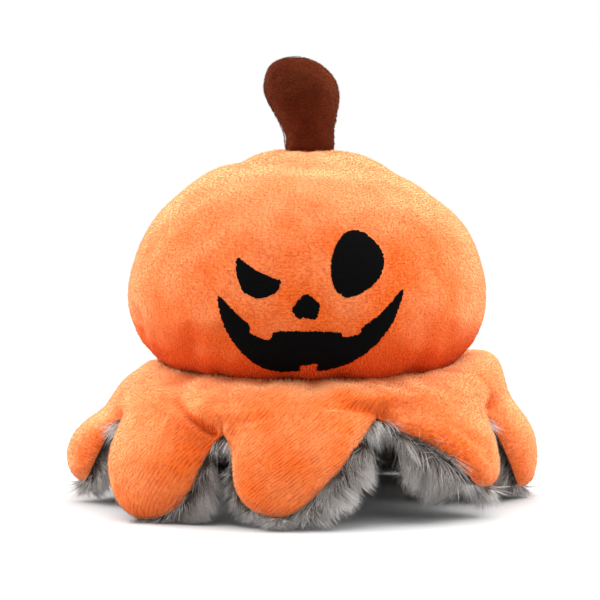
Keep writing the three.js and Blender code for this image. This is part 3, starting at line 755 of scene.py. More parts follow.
@made_once
def pile_tree(name):
    """Scatters curved tapered strands over a surface and lays them along the attribute named flow."""
    n, enter, leave = new_group(
        name, "GeometryNodeTree",
        {"Geometry": "Geometry", "Density": 1e6, "Length": 0.002, "Root radius": 0.0003, "Segments": 1, "Curl": 0.3,
         "Lift": 0.5, "Clump size": 0.004, "Clump pull": 0.0, "Clump stray": 0.0, "Frizz": 0.2, "Shortest": 0.6,
         "Seed": 0, "Bare round": "Object", "Bare distance": 0.0005, "Cover": "Object", "Cover reach": 0.016,
         "Material": "Material"},
        {"Geometry": "Geometry"},
    )
    size, seed, place = enter["Length"], enter["Seed"], n.add("GeometryNodeInputPosition")

    # One strand: an open three-sided cone, bent to one side, that knows how far along itself it is.
    cone = n.add(
        "GeometryNodeMeshCone",
        {"Vertices": 3, "Side Segments": enter["Segments"], "Radius Top": 0.0, "Radius Bottom": enter["Root radius"],
         "Depth": size},
        fill_type="NONE",
    )
    along = n.maths("DIVIDE", n.add("ShaderNodeSeparateXYZ", {0: place}, "Z"), size)
    sideways = n.times(n.times(along, along), n.times(enter["Curl"], size))
    marked = n.stored(cone, "t", along, "FLOAT", "POINT")
    bend = n.add("ShaderNodeCombineXYZ", {"X": sideways})
    strand = n.add("GeometryNodeSetPosition", {"Geometry": marked, "Offset": bend})

    # Where strands grow: thinned by the attribute growth, and never on the patches that keep them off.
    density = n.times(enter["Density"], n.field("growth"))
    scatter = n.add(
        "GeometryNodeDistributePointsOnFaces", {"Mesh": enter["Geometry"], "Density": density, "Seed": seed}, None
    )
    patches = n.add("GeometryNodeObjectInfo", {"Object": enter["Bare round"]}, "Geometry", transform_space="RELATIVE")
    near = n.add("GeometryNodeProximity", {"Geometry": patches}, None, target_element="FACES")
    close = n.add(
        "FunctionNodeCompare", {"A": near["Distance"], "B": enter["Bare distance"]},
        data_type="FLOAT", operation="LESS_THAN",
    )
    on_patch = n.add("FunctionNodeBooleanMath", {0: close, 1: near["Is Valid"]}, operation="AND")
    kept = n.without(scatter["Points"], on_patch)

    # Which way each lies: along flow, lifted by the normal, drawn to its clump, strayed with it and frizzed.
    flow, shun = n.field("flow", "FLOAT_VECTOR"), n.field("shun", "FLOAT_VECTOR")
    cells = n.add(
        "ShaderNodeTexVoronoi",
        {"Vector": place, "Scale": n.maths("DIVIDE", 1.0, enter["Clump size"]), "Randomness": 1.0}, None,
    )
    frizz = n.add(
        "FunctionNodeRandomValue", {"Min": (-1.0, -1.0, -1.0), "Max": (1.0, 1.0, 1.0), "Seed": seed},
        data_type="FLOAT_VECTOR",
    )
    heading = flow
    for way, amount in (
        (scatter["Normal"], enter["Lift"]),
        (n.vectors("SUBTRACT", cells["Position"], place), n.maths("DIVIDE", enter["Clump pull"], enter["Clump size"])),
        (n.vectors("SUBTRACT", cells["Color"], (0.5, 0.5, 0.5)), enter["Clump stray"]),
        (frizz, enter["Frizz"]),
    ):
        heading = n.vectors("ADD", heading, n.vectors("SCALE", way, amount))
    # None goes through the cloth: what points along the attribute shun is taken out, less where it is free.
    limit = n.line(n.field("free"), -0.25, 0.1)
    excess = n.at_least(n.maths("ADD", n.vectors("DOT_PRODUCT", heading, shun), limit), 0.0)
    heading = n.vectors("SUBTRACT", heading, n.vectors("SCALE", shun, excess))
    stood = n.add("FunctionNodeAlignRotationToVector", {"Vector": heading}, axis="Z")
    turned = n.add("FunctionNodeAlignRotationToVector", {"Rotation": stood, "Vector": flow}, axis="X", pivot_axis="Z")
    length_share = n.times(n.random(enter["Shortest"], n.maths("ADD", seed, 11)), n.field("reach"))

    # None lies over the cloth named Cover: seen along shun, no strand has it behind its last part.
    end = {"X": n.times(n.times(enter["Curl"], 0.85), size), "Z": n.times(n.times(length_share, 0.92), size)}
    end = n.add("FunctionNodeRotateVector", {"Vector": n.add("ShaderNodeCombineXYZ", end), "Rotation": turned})
    cover = n.add("GeometryNodeObjectInfo", {"Object": enter["Cover"]}, "Geometry", transform_space="RELATIVE")
    covered = n.add(
        "GeometryNodeRaycast",
        {"Target Geometry": cover, "Source Position": n.vectors("ADD", place, end),
         "Ray Direction": n.vectors("SCALE", shun, -1.0), "Ray Length": enter["Cover reach"]},
        "Is Hit",
    )
    scale = n.add("ShaderNodeCombineXYZ", {"X": 1.0, "Y": 1.0, "Z": length_share})
    placed = n.add(
        "GeometryNodeInstanceOnPoints",
        {"Points": n.without(kept, covered), "Instance": strand, "Rotation": turned, "Scale": scale},
    )

    # How pale each is: random from one to the next, with painted shade where one tuft meets the next and, from the
    # ground, painted light on top and painted shade underneath.
    bloom = n.field("bloom")
    inner = n.at_least(n.line(cells["Distance"], -1.7, 1.0), 0.0)
    tone = n.line(n.random(0.0, n.maths("ADD", seed, 23)), 0.25, n.times(bloom, 0.5))
    tone = n.line(n.add("FunctionNodeSeparateColor", {0: cells["Color"]}), 0.40, n.line(inner, 0.75, tone))
    toned = n.stored(placed, "tone", tone, "FLOAT", "INSTANCE")
    # The ground's normal goes with each strand, short where painted shade keeps the pile deep in a fold or underneath.
    normal = n.vectors("SCALE", scatter["Normal"], n.exposed(bloom, 0.001))
    real = n.add("GeometryNodeRealizeInstances", {
        "Geometry": n.stored(toned, "ground", normal, "FLOAT_VECTOR", "INSTANCE"),
    })
    n.feed(leave, {0: n.add("GeometryNodeSetMaterial", {"Geometry": real, "Material": enter["Material"]})})
    return n.tree


def grow(name, ground, kind, seed, extra=None):
    """Grows strands of one of PILES on the ground, a sheet that is used up, and gives them as a plain mesh object."""
    fur, pile, tree = bpy.context.scene.plush_fur, PILES[kind], pile_tree("Scattered pile")
    modifier = ground.modifiers.new("Pile", "NODES")
    modifier.node_group = tree
    sockets = {item.name: item.identifier for item in tree.interface.items_tree if item.in_out == "INPUT"}
    values = {**pile["inputs"], "Seed": fur.seed + seed, "Material": strand_hair(pile["hair"]), **(extra or {})}
    for label, key in (("Density", "density"), ("Length", "length"), ("Root radius", "radius")):
        values[label] = getattr(fur, f"{pile['of']}_{key}") * pile[key]
    for label, value in values.items():
        modifier[sockets[label]] = value
    ground.update_tag()
    graph = bpy.context.evaluated_depsgraph_get()
    mesh = bpy.data.meshes.new_from_object(ground.evaluated_get(graph))
    mesh.name = name
    for spare in [a.name for a in mesh.attributes if a.name in GROUND_ATTRIBUTES]:
        mesh.attributes.remove(mesh.attributes[spare])
    bpy.data.objects.remove(ground)
    mesh.polygons.foreach_set("use_smooth", [True] * len(mesh.polygons))
    return new_object(name, mesh)


# ---------------------------------------------------------------- stuffed cloth, settled by simulation


def softened(values, passes, closed):
    """A grid of values, each drawn toward its neighbours, so that only broad changes are left."""
    for _ in range(passes):
        values = np.pad(values, ((0, 0), (1, 1)), mode="wrap" if closed else "edge")
        values = (values[:, :-2] + values[:, 2:] + 2 * values[:, 1:-1]) / 4
        values = np.pad(values, ((1, 1), (0, 0)), mode="edge")
        values = (values[:-2] + values[2:] + 2 * values[1:-1]) / 4
    return values


def settled(grid, closed):
    """How far each point rises or sinks where cloth cut a little large for the shape is blown out by its stuffing.

    The cloth is held along its seams, at the grid's borders. Only its puckers and folds count: the shape stays.
    """
    rows, columns = grid.shape[:2]
    sizes, scene = bpy.context.scene.plush_padding, bpy.context.scene
    coarse = grid[:: sizes.step, :: sizes.step]
    sheet = facing_out(piece("sheet", coarse, grid_quads(*coarse.shape[:2], closed=closed)), False)
    held = np.zeros(coarse.shape[:2], bool)
    held[0] = held[-1] = True
    if not closed:
        held[:, 0] = held[:, -1] = True
    seam = sheet.vertex_groups.new(name="seam")
    seam.add([int(i) for i in np.flatnonzero(held)], 1.0, "REPLACE")
    cloth = sheet.modifiers.new("Cloth", "CLOTH")
    cloth.point_cache.frame_end = sizes.frames
    cloth.collision_settings.use_collision = False
    weave = cloth.settings
    weave.quality, weave.mass, weave.bending_stiffness = WEAVE_STEPS, WEAVE_MASS, WEAVE_BENDING
    weave.tension_stiffness = weave.compression_stiffness = sizes.stiffness
    weave.shear_stiffness = sizes.stiffness / 3
    weave.vertex_group_mass = seam.name
    weave.shrink_min = -sizes.slack
    weave.use_pressure = True
    weave.uniform_pressure_force = sizes.pressure
    weave.effector_weights.gravity = 0.0
    for number in range(1, sizes.frames + 1):
        scene.frame_set(number)
    moved = np.empty(coarse.size)
    sheet.evaluated_get(bpy.context.evaluated_depsgraph_get()).data.vertices.foreach_get("co", moved)
    bpy.data.objects.remove(sheet)
    scene.frame_set(1)
    risen = np.sum((moved.reshape(coarse.shape) - coarse) * outward_normals(coarse, closed), axis=-1)
    detail = np.clip(risen - softened(risen, BROAD_PASSES, closed), *PUCKERS)
    if closed:
        detail = np.hstack([detail, detail[:, :1]])
    down, across = np.arange(rows) / sizes.step, np.arange(columns) / sizes.step
    tall = np.array([np.interp(down, np.arange(detail.shape[0]), line) for line in detail.T]).T
    fine = np.array([np.interp(across, np.arange(detail.shape[1]), line) for line in tall])
    return softened(fine, FINE_PASSES, closed)


def padded_out(grid, closed, amount=1.0):
    """A grid of points with the puckers of its settled cloth, each times the amount."""
    return grid + outward_normals(grid, closed) * (amount * settled(grid, closed))[..., None]


def rest_on_floor(made, soft=0.0022, lowest=0.0003):
    """Presses down the points that would go through the floor, so that strands lie on it."""
    points = np.empty(len(made.data.vertices) * 3, np.float32)
    made.data.vertices.foreach_get("co", points)
    height = points[2::3]
    low = height < soft
    height[low] = lowest + (soft - lowest) * np.exp((height[low] - soft) / (soft - lowest))
    made.data.vertices.foreach_set("co", points)
    made.data.update()


def facing_out(ground, inward):
    """The sheet with its faces turned to the side that grows pile: away from the toy's axis, or toward it."""
    mesh = ground.data
    middle = mesh.polygons[len(mesh.polygons) // 2]
    outward = Vector((middle.center.x, middle.center.y, 0.0)).dot(middle.normal) > 0
    if outward == inward:
        mesh.flip_normals()
    return ground


# ---------------------------------------------------------------- the head


def head_grid(sizes):
    """Points of the head, rows from the neck up to just below the crown's pole, and the pile's own coordinates."""
    lowest = -math.asin((sizes.middle - sizes.neck_height) / sizes.lower_depth)
    around, up = np.meshgrid(
        np.linspace(-math.pi, math.pi, sizes.columns, endpoint=False),
        np.linspace(lowest, math.pi / 2, sizes.rows + 1)[:-1],
    )
    rise = np.where(up > 0, sizes.crown_rise, sizes.lower_depth)
    radius = sizes.radius * np.cos(up)
    pad = sizes.pad_radius + PAD_SHIFT * np.sin(around)
    deep = sizes.pad_crease * (PAD_CREASE_FRONT + (1 - PAD_CREASE_FRONT) * np.abs(np.sin(around)))
    crease = deep * bell((radius - pad) / PAD_CREASE_WIDTH) * (up > 0)
    height = sizes.middle + rise * np.sin(up) - crease
    points = np.stack([sizes.offset + radius * np.sin(around), -radius * np.cos(around), height], axis=-1)
    level = np.cos(up) / sizes.radius
    normal = unit(np.stack([level * np.sin(around), -level * np.cos(around), np.sin(up) / rise], axis=-1))
    sag = (points - np.array(SAG_PLACE)) / np.array(SAG_SIZE)
    swell = -SAG_DEPTH * np.exp(-np.sum(sag**2, axis=-1))
    swell += lumps(points, HEAD_LUMPS)
    front, across = points[..., 1] < 0, points[..., 0] - sizes.offset
    depth, width, low, high = FRONT_CREASE
    swell -= front * depth * bell(across / width) * smooth(low, high, points[..., 2])
    swell -= dimple(points, *HEAD_DIMPLE)
    grain = np.stack([around * sizes.radius, up * HEAD_GRAIN, 0 * up], axis=-1)
    return points + normal * swell[..., None], grain


def closed_rings(rings):
    """Points and faces of closed rings that end in a pole below and one above."""
    rows, columns = rings.shape[:2]
    faces = grid_quads(rows, columns, closed=True)
    low, high, top = rows * columns, rows * columns + 1, (rows - 1) * columns
    for c in range(columns):
        faces.append((low, (c + 1) % columns, c))
        faces.append((high, top + c, top + (c + 1) % columns))
    return with_poles(rings), faces


def with_poles(values):
    """Values of rings, one after the other, with a mean value for each pole."""
    flat = values.reshape(-1, *values.shape[2:])
    return np.concatenate([flat, [values[0].mean(0)], [values[-1].mean(0)]])


def pole_sheet(rings, **attributes):
    """A sheet of rings and poles for strands to grow on."""
    points, faces = closed_rings(rings)
    values = {name: with_poles(grid) for name, grid in attributes.items()}
    return piece("ground", points, faces, attributes=values)


class PLUSH_OT_head(bpy.types.Operator):
    """Make the stuffed orange head"""

    bl_idname = "plush_toy.head"
    bl_label = "Head"

    def execute(self, context):
        sizes = context.scene.plush_head
        rings, grain = head_grid(sizes)
        rings = padded_out(rings, True)
        points, faces = closed_rings(rings)
        # The head's colour carries painted light on top and painted shade underneath.
        head = piece(
            "head", points, faces, plush_cloth("orange velboa, specked"),
            {"bloom": with_poles(bloom_of(rings, True))}, with_poles(grain), 2 * math.pi * sizes.radius,
        )
        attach(head, "toy_body")
        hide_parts("head_cover", "head_stuffing")
        return {"FINISHED"}


# ---------------------------------------------------------------- the face


def cut_edge(outline, seed):
    """An outline walked in even steps, a little ragged, as pile makes a cut edge."""
    corners = [Vector(p) * MILLIMETRE for p in outline]
    walked = []
    for start, end in zip(corners, corners[1:] + corners[:1]):
        parts = max(1, round((end - start).length / EDGE_STEP))
        side = Vector((end.y - start.y, start.x - end.x)).normalized()
        for i in range(parts):
            spot = start.lerp(end, i / parts)
            jitter = noise.noise(Vector((spot.x * 1400, spot.y * 1400, seed))) * EDGE_RAGGED if i else 0.0
            walked.append(spot + side * jitter)
    return walked


def rounded(outline, passes, weight=0.16):
    """An outline with its corners eased, as a soft cut has them."""
    points = [Vector(p) for p in outline]
    for _ in range(passes):
        eased = []
        for before, here, after in zip(points[-1:] + points[:-1], points, points[1:] + points[:1]):
            eased += [here.lerp(before, weight), here.lerp(after, weight)]
        points = eased
    return points


def face_patch(name, outline, surface, seed, passes):
    """A thin closed patch of cloth that lies on the head."""
    sizes = bpy.context.scene.plush_head
    edge = cut_edge(rounded(outline, passes), seed)
    low = Vector((min(p.x for p in edge), min(p.y for p in edge)))
    high = Vector((max(p.x for p in edge), max(p.y for p in edge)))

    def from_edge(p):
        """How far a point lies from the outline."""
        return min((p - q).length for q in edge)

    inside = [
        Vector((low.x + (i + 0.5 * (j % 2)) * PATCH_PITCH, low.y + j * PATCH_PITCH))
        for i in range(int((high.x - low.x) / PATCH_PITCH) + 1)
        for j in range(int((high.y - low.y) / PATCH_PITCH) + 1)
    ]
    inside = [p for p in inside if from_edge(p) > PATCH_INSET]
    flat, _, faces = delaunay_2d_cdt(edge + inside, [], [list(range(len(edge)))], 1, 1e-7)[:3]
    top, under = [], []
    for p in flat:
        hit, normal, _, _ = surface.ray_cast(
            Vector((sizes.offset + p.x, -0.2, sizes.middle + p.y)), Vector((0, 1, 0))
        )
        top.append(hit + normal * (PATCH_RIM_RISE if from_edge(p) < 0.1 * MILLIMETRE else PATCH_RISE))
        under.append(hit - normal * PATCH_SINK)
    total = len(top)
    sides = {pair for f in faces for pair in zip(f, (*f[1:], f[0]))}
    shell = [tuple(f) for f in faces] + [tuple(total + i for i in reversed(f)) for f in faces]
    shell += [(a, total + a, total + b, b) for a, b in sorted(sides) if (b, a) not in sides]
    made = tidy_shell(piece(f"{name}_patch", top + under, shell, black_cloth("black cloth")), PATCH_SHARP)
    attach(made, "toy_body")
    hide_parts(name)
    return made


class PLUSH_OT_face(bpy.types.Operator):
    """Cut the face from black cloth and lay it on the head"""

    bl_idname = "plush_toy.face"
    bl_label = "Face"

    def execute(self, context):
        surface = BVHTree.FromObject(bpy.data.objects["head"], context.evaluated_depsgraph_get())
        for seed, (name, (outline, passes)) in enumerate(FACE.items(), 1):
            face_patch(name, outline, surface, seed, passes)
        return {"FINISHED"}


def joined_copy(name, sources):
    """One object with copies of the meshes of several."""
    work = bmesh.new()
    for source in sources:
        work.from_mesh(source.data)
    mesh = bpy.data.meshes.new(name)
    work.to_mesh(mesh)
    work.free()
    return new_object(name, mesh)


class PLUSH_OT_head_pile(bpy.types.Operator):
    """Grow the short pile on the head, clear of the face"""

    bl_idname = "plush_toy.head_pile"
    bl_label = "Head pile"

    def execute(self, context):
        sizes = context.scene.plush_head
        head = np.array([v.co for v in bpy.data.objects["head"].data.vertices])
        rings = head[: sizes.rows * sizes.columns].reshape(sizes.rows, sizes.columns, 3)
        # Its pile carries the same painted light on top and painted shade underneath.
        ground = pole_sheet(
            rings, flow=-onward(rings) * 0.9, growth=smooth(*HEAD_PILE_FROM, rings[..., 2]),
            reach=np.ones(rings.shape[:2]), bloom=bloom_of(rings, True),
        )
        guard = joined_copy("face_guard", [bpy.data.objects[f"{name}_patch"] for name in FACE])
        pile = grow("head_pile", ground, "velboa", 0, {"Bare round": guard, "Bare distance": PATCH_CLEARANCE})
        bpy.data.objects.remove(guard)
        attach(pile, "toy_body")
        return {"FINISHED"}


# ---------------------------------------------------------------- the stem


def stem_grid(sizes, columns, rows):
    """Rings of the stem from its hidden ball up to its swollen end, and the pile's own coordinates."""
    around = np.linspace(-math.pi, math.pi, columns, endpoint=False)
    flare = STEM_FLARE_HEIGHT / sizes.stem_rise
    rings = []
    for i in range(rows // 4):
        down = (i + 1) / (rows // 4) * math.pi / 2
        rings.append((sizes.stem_base * math.sin(down), -sizes.stem_base * math.cos(down), 0.0, 1.0))
    for i in range(1, rows + 1):
        s = min(1 - (1 - i / rows) ** 1.7, 0.9995)
        radius = sizes.stem_base + (sizes.stem_flare - sizes.stem_base) * float(smooth(0.0, flare, s))
        over = max(0.0, (s - flare * 0.80) / (1 - flare * 0.80))
        radius *= math.sqrt(1 - over**2.6)
        rings.append((radius, s * sizes.stem_rise, -sizes.stem_lean * s**1.2, 1 - 0.1 * s))
    middle = sizes.offset + STEM_SHIFT
    points = np.array([
        [(middle + lean + r * math.sin(a), -r * flat * math.cos(a), sizes.stem_pivot + z) for a in around]
        for r, z, lean, flat in rings
    ])
    out = (points - np.array([middle, 0, 0])) * np.array([1, 1, 0])
    swell = lumps(points, STEM_LUMPS) - dimple(points, *STEM_DIMPLE)
    heights = np.array([z for _, z, _, _ in rings])[:, None] + 0 * around
    grain = np.stack([0 * heights + around * sizes.stem_flare, heights, 0 * heights], axis=-1)
    return points + unit(out) * swell[..., None], grain


class PLUSH_OT_stem(bpy.types.Operator):
    """Make the stuffed brown stem and its pile"""

    bl_idname = "plush_toy.stem"
    bl_label = "Stem"

    def execute(self, context):
        sizes = context.scene.plush_head
        rings, grain = stem_grid(sizes, *STEM_GRID)
        points, faces = closed_rings(padded_out(rings, True, 0.6))
        stem = piece(
            "stem", points, faces, plush_cloth("brown velboa"), None, with_poles(grain),
            2 * math.pi * sizes.stem_flare,
        )
        rings, _ = stem_grid(sizes, *STEM_PILE_GRID)
        growth = smooth(*(sizes.stem_pivot + z for z in STEM_PILE_FROM), rings[..., 2])
        ground = pole_sheet(rings, flow=-onward(rings) * 0.8, growth=growth, reach=np.ones(rings.shape[:2]))
        pile = grow("stem_pile", ground, "stem velboa", 3)
        foot = (sizes.offset, 0.0, sizes.stem_pivot + STEM_BEND_FROM)
        bent = (sizes.offset, 0.0, sizes.stem_pivot + STEM_BEND_TO)
        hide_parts("stem_cover", "stem_stuffing")
        for made in (stem, pile):
            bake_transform(made, "toy_body", "stem", start=foot, end=bent)
        return {"FINISHED"}


# ---------------------------------------------------------------- the skirt and its legs


def spine_table():
    """The skirt's middle line as arc length, radius and height, and their tangent, closely spaced."""
    points = np.array(SPINE)
    ends = np.vstack([2 * points[0] - points[1], points, 2 * points[-1] - points[-2]])
    t = np.linspace(0, 1, 60, endpoint=False)[:, None]
    parts = [
        0.5 * (2 * b + (c - a) * t + (2 * a - 5 * b + 4 * c - d) * t**2 + (3 * b - a - 3 * c + d) * t**3)
        for a, b, c, d in zip(ends, ends[1:], ends[2:], ends[3:])
    ]
    line = np.vstack([*parts, points[-1:]])
    arc = np.concatenate([[0], np.cumsum(np.linalg.norm(np.diff(line, axis=0), axis=1))])
    return arc, line, unit(np.gradient(line, arc, axis=0))


def fold_depth(points):
    """How far the folds press the skirt in at each point."""
    deep = np.zeros(points.shape[:-1])
    bearing, radius = np.arctan2(points[..., 0], -points[..., 1]), np.hypot(points[..., 0], points[..., 1])
    for start, low, end, high, depth, width in FOLDS:
        spot = np.stack([away_from(start, bearing) * radius, points[..., 2] - low], axis=-1)
        way = np.array([math.radians(end - start) * FOLD_RADIUS, high - low])
        t = np.clip((spot @ way) / (way @ way), 0, 1)
        deep += depth * (1 - 0.75 * t) * bell(np.linalg.norm(spot - t[..., None] * way, axis=-1) / width)
    return deep


def bulge(theta, arc):
    """How far the skirt's shoulder is pushed up in each direction and at each distance along the spine."""
    return sum(
        rise * bell(away_from(bearing, theta) / math.radians(turn)) * bell((arc - middle) / width)
        for bearing, turn, middle, width, rise in BULGES
    )


def leg_width(leg, t):
    """The share of its root's width that a leg keeps, from its fork to its tip, and how far its tip rounds it off."""
    taper = np.sqrt(np.clip(1 - t ** leg["blunt"], 0, 1))
    return (leg["waist"] + (1 - leg["waist"]) * np.exp(-t / leg["spread"])) * taper, taper


def leg_grids(index, sizes):
    """Points of one eighth of the skirt with its leg, rows from neck to foot: the orange side, the seam between its two
    cloths and the furry side. Then the pile's own coordinates, and how far across and down the leg each point lies."""
    leg, sector = LEGS[index], index * 2 * HALF_SECTOR
    arc, line, tangent = spine_table()
    past = arc > FALLS_FROM

    def at_height(z):
        """How far along the spine that height is reached."""
        return float(np.interp(-z, -line[past, 1], arc[past]))

    a = -np.cos(np.linspace(0, math.pi, sizes.columns + 1))[None, :]
    phi = a * HALF_SECTOR
    left, right, tip = at_height(FORKS[index - 1]), at_height(FORKS[index]), at_height(leg["tip"])
    fork = left + (right - left) * smooth(-1, 1, a)
    above = np.linspace(0, 1, sizes.skirt_rows + 1)[:, None]
    below = (1 - np.cos(np.linspace(0, math.pi, sizes.leg_rows + 1)))[1:, None] / 2
    v = np.concatenate([above * fork, fork + below * (tip - fork)])
    t = np.concatenate([0 * above, below]) + 0 * a
    q = np.concatenate([above, 1 + 0 * below]) + 0 * a

    r, z = np.interp(v, arc, line[:, 0]), np.interp(v, arc, line[:, 1])
    tr, tz = np.interp(v, arc, tangent[:, 0]), np.interp(v, arc, tangent[:, 1])
    nr, nz = -tz, tr
    base_r = np.where(t > 0, np.interp(fork, arc, line[:, 0]), r)
    width, taper = leg_width(leg, t)
    half = base_r * math.sin(HALF_SECTOR) * width
    cup = base_r * (1 - math.cos(HALF_SECTOR)) * (1 - 0.25 * t) * taper
    tilt = 1 - 0.35 * t

    # Both cloths meet at the leg's rims and its tip. Above the forks they run on into the next sector.
    full = np.clip(1 - a**2, 0, 1) ** (1.3 - 0.8 * smooth(0.84, 1.0, q))
    at_border = (1 - smooth(0.86, 1.0, q)) * (t == 0)
    across = at_border + (1 - at_border) * full
    end = np.sqrt(np.clip(1 - t**4, 0, 1))
    mound = sizes.seam + (sizes.shoulder - sizes.seam) * smooth(0.0, SHOULDER_AT, v)
    mound = mound + (sizes.thickness - sizes.shoulder) * smooth(0.0, 0.45, t)
    outer = (mound + bulge(sector + phi + 0 * t, v)) * end * across
    inner = -sizes.lining * end * across
    eased = smooth(0, 1, t)
    twist, turn = math.radians(leg["twist"]) * eased, sector + math.radians(leg["turn"]) * eased

    def placed(offset, sideways=0.0):
        """The surface that far from the middle one, and moved that far to the side."""
        x = half * np.sin(phi) / math.sin(HALF_SECTOR) + offset * nr * np.sin(tilt * phi) + sideways
        radial = -cup * (1 - np.cos(phi)) / (1 - math.cos(HALF_SECTOR)) + offset * nr * np.cos(tilt * phi)
        rise = offset * nz
        along_n, along_t = radial * nr + rise * nz, radial * tr + rise * tz
        x, along_n = x * np.cos(twist) - along_n * np.sin(twist), x * np.sin(twist) + along_n * np.cos(twist)
        x = x + leg["lean"] * eased
        radius = r + along_n * nr + along_t * tr + leg["reach"] * eased
        height = z + along_n * nz + along_t * tz
        return np.stack(
            [radius * np.sin(turn) + x * np.cos(turn), -radius * np.cos(turn) + x * np.sin(turn), height], axis=-1
        )

    top = placed(outer)
    press = fold_depth(top) * smooth(0.0, 0.4, full)
    wave = lumps(top, LEG_LUMPS, index) * full
    top = placed(np.maximum(outer - press + wave, 0.0))
    side = np.abs(a)
    round_edge = smooth(0.55, 0.92, side) * np.sqrt(np.clip(1 - (np.maximum(side - 0.92, 0) / 0.08) ** 2, 0, 1))
    roll = np.where(a < 0, -ROLLS[index][0], ROLLS[index][1]) * round_edge * smooth(0.08, 0.35, t) * (1 - t**6)
    under = placed(inner + 0.35 * np.abs(roll), roll)
    middle = 0.12 * top + 0.88 * placed(inner)
    for grid in (top, under, middle):
        grid[..., 2] = np.maximum(grid[..., 2], LOWEST_POINT)
    grain = np.stack([half * a, v + 0 * a, 0 * v + index * 0.3], axis=-1)
    return top, middle, under, grain, a + 0 * t, t


def skirt_bloom(grid):
    """Painted light and shade on the skirt; painted shade in its folds and at the neck seam, the grid's first row."""
    row = np.arange(grid.shape[0])[:, None]
    return 0.35 * bloom_of(grid, False) - 0.5 * bell(row / 3.0) - 0.8 * np.clip(fold_depth(grid) / DARK_FOLD, 0, 1)


def turned_grain(grain, degrees):
    """The pile's coordinates turned, for pile that lies aslant."""
    c, s = math.cos(math.radians(degrees)), math.sin(math.radians(degrees))
    return np.stack([grain[..., 0] * c - grain[..., 1] * s, grain[..., 0] * s + grain[..., 1] * c, grain[..., 2]], -1)


def shell_between(name, over, under, cloth, grain):
    """A closed shell between two grids of the same size that meet at their rims."""
    rows, columns = over.shape[:2]
    size = rows * columns
    faces = grid_quads(rows, columns)
    faces += [tuple(size + i for i in reversed(f)) for f in faces]
    edge = (
        [r * columns for r in range(rows)] + [(rows - 1) * columns + c for c in range(1, columns)]
        + [r * columns + columns - 1 for r in range(rows - 2, -1, -1)] + list(range(columns - 2, 0, -1))
    )
    faces += [(i, j, size + j, size + i) for i, j in zip(edge, edge[1:] + edge[:1])]
    # Painted light and shade of the skirt, from the first grid, for both sides of the shell.
    bloom = np.concatenate([skirt_bloom(over).ravel()] * 2)
    made = piece(name, np.stack([over, under]), faces, plush_cloth(cloth), {"bloom": bloom}, np.stack([grain, grain]))
    return tidy_shell(made, LEG_SHARP)


def leg_pile(index, top):
    """The short pile on a leg's orange side. At the neck it stands up against the head and hides the seam."""
    neck = bell(np.arange(top.shape[0])[:, None] / 2.5) * np.ones(top.shape[:2])
    # The pile carries the skirt's painted light and shade, but is painted paler where it stands up at the neck.
    ground = ground_sheet(
        top, flow=onward(top) * (0.9 - 1.9 * neck)[..., None], growth=1 + 4 * neck, reach=1 + 0.7 * neck,
        bloom=skirt_bloom(top) + 0.9 * neck,
    )
    return grow(f"leg_{index + 1}_pile", facing_out(ground, False), "velboa", 20 + index)


def leg_fur(index, under, across, along, cover):
    """The fur on a leg's inner side. It lies down the leg, and at the rims it fans out and in behind the next leg."""
    leg, side, fur = LEGS[index], np.abs(across), bpy.context.scene.plush_fur
    theta = np.arctan2(under[..., 0], -under[..., 1])
    level = np.stack([np.cos(theta), np.sin(theta), 0 * theta], axis=-1)
    down = onward(under)
    outward = unit(np.cross(down, level))
    edge = side**3 * smooth(0.15, 0.45, along)
    rim = smooth(0.80, 0.95, side) * smooth(0.15, 0.35, along)
    tuck = np.interp(across, (-1, 1), leg["tuck"])
    tufts = np.where(across < 0, FORK_TUFTS[index - 1], FORK_TUFTS[index])
    in_fork = tufts * bell(along / 0.16) * side**4
    bare = (1 - tufts) * bell(along / 0.35) * side**3
    fan = 0.75 * edge * (1 - 0.5 * np.maximum(tuck, 0)) * np.sign(across)
    inward = tuck * edge + 0.5 * in_fork + 0.8 * bare
    way = unit(down * (1 - 0.45 * edge)[..., None] + level * fan[..., None] - outward * inward[..., None])
    bushy = tufts > BUSHY
    growth = 0.4 + 0.6 * smooth(0.0, 0.1, along) + 2.8 * side**4 + 5 * in_fork + 2.0 * rim + 2.6 * edge * bushy
    # No strand beside the rim is longer than the gap to the next leg, but where the fork bushes out.
    gap = np.clip(WIDEST_GAP * (1 - leg_width(leg, along)[0]) / fur.fur_length, 0.5, 1.0)
    reach = 1 + (np.where(bushy, 1.40, gap) - 1) * edge + 0.3 * in_fork
    ground = ground_sheet(
        under, flow=way * 0.7, growth=growth * (1 - 0.92 * bare), shun=outward,
        reach=reach * (1 + (leg["shag"] - 1) * edge * (across < 0)),
        free=rim * (1 - smooth(0.90, 0.97, side)) * (tuck < 0.3),
    )
    return grow(f"leg_{index + 1}_fur", facing_out(ground, True), "leg fur", 40 + index, {"Cover": cover})


def on_leg_axis(index, spot):
    """A point at a radius and height in the middle of a leg."""
    radius, height = spot
    turn = index * 2 * HALF_SECTOR
    return radius * math.sin(turn), -radius * math.cos(turn), height


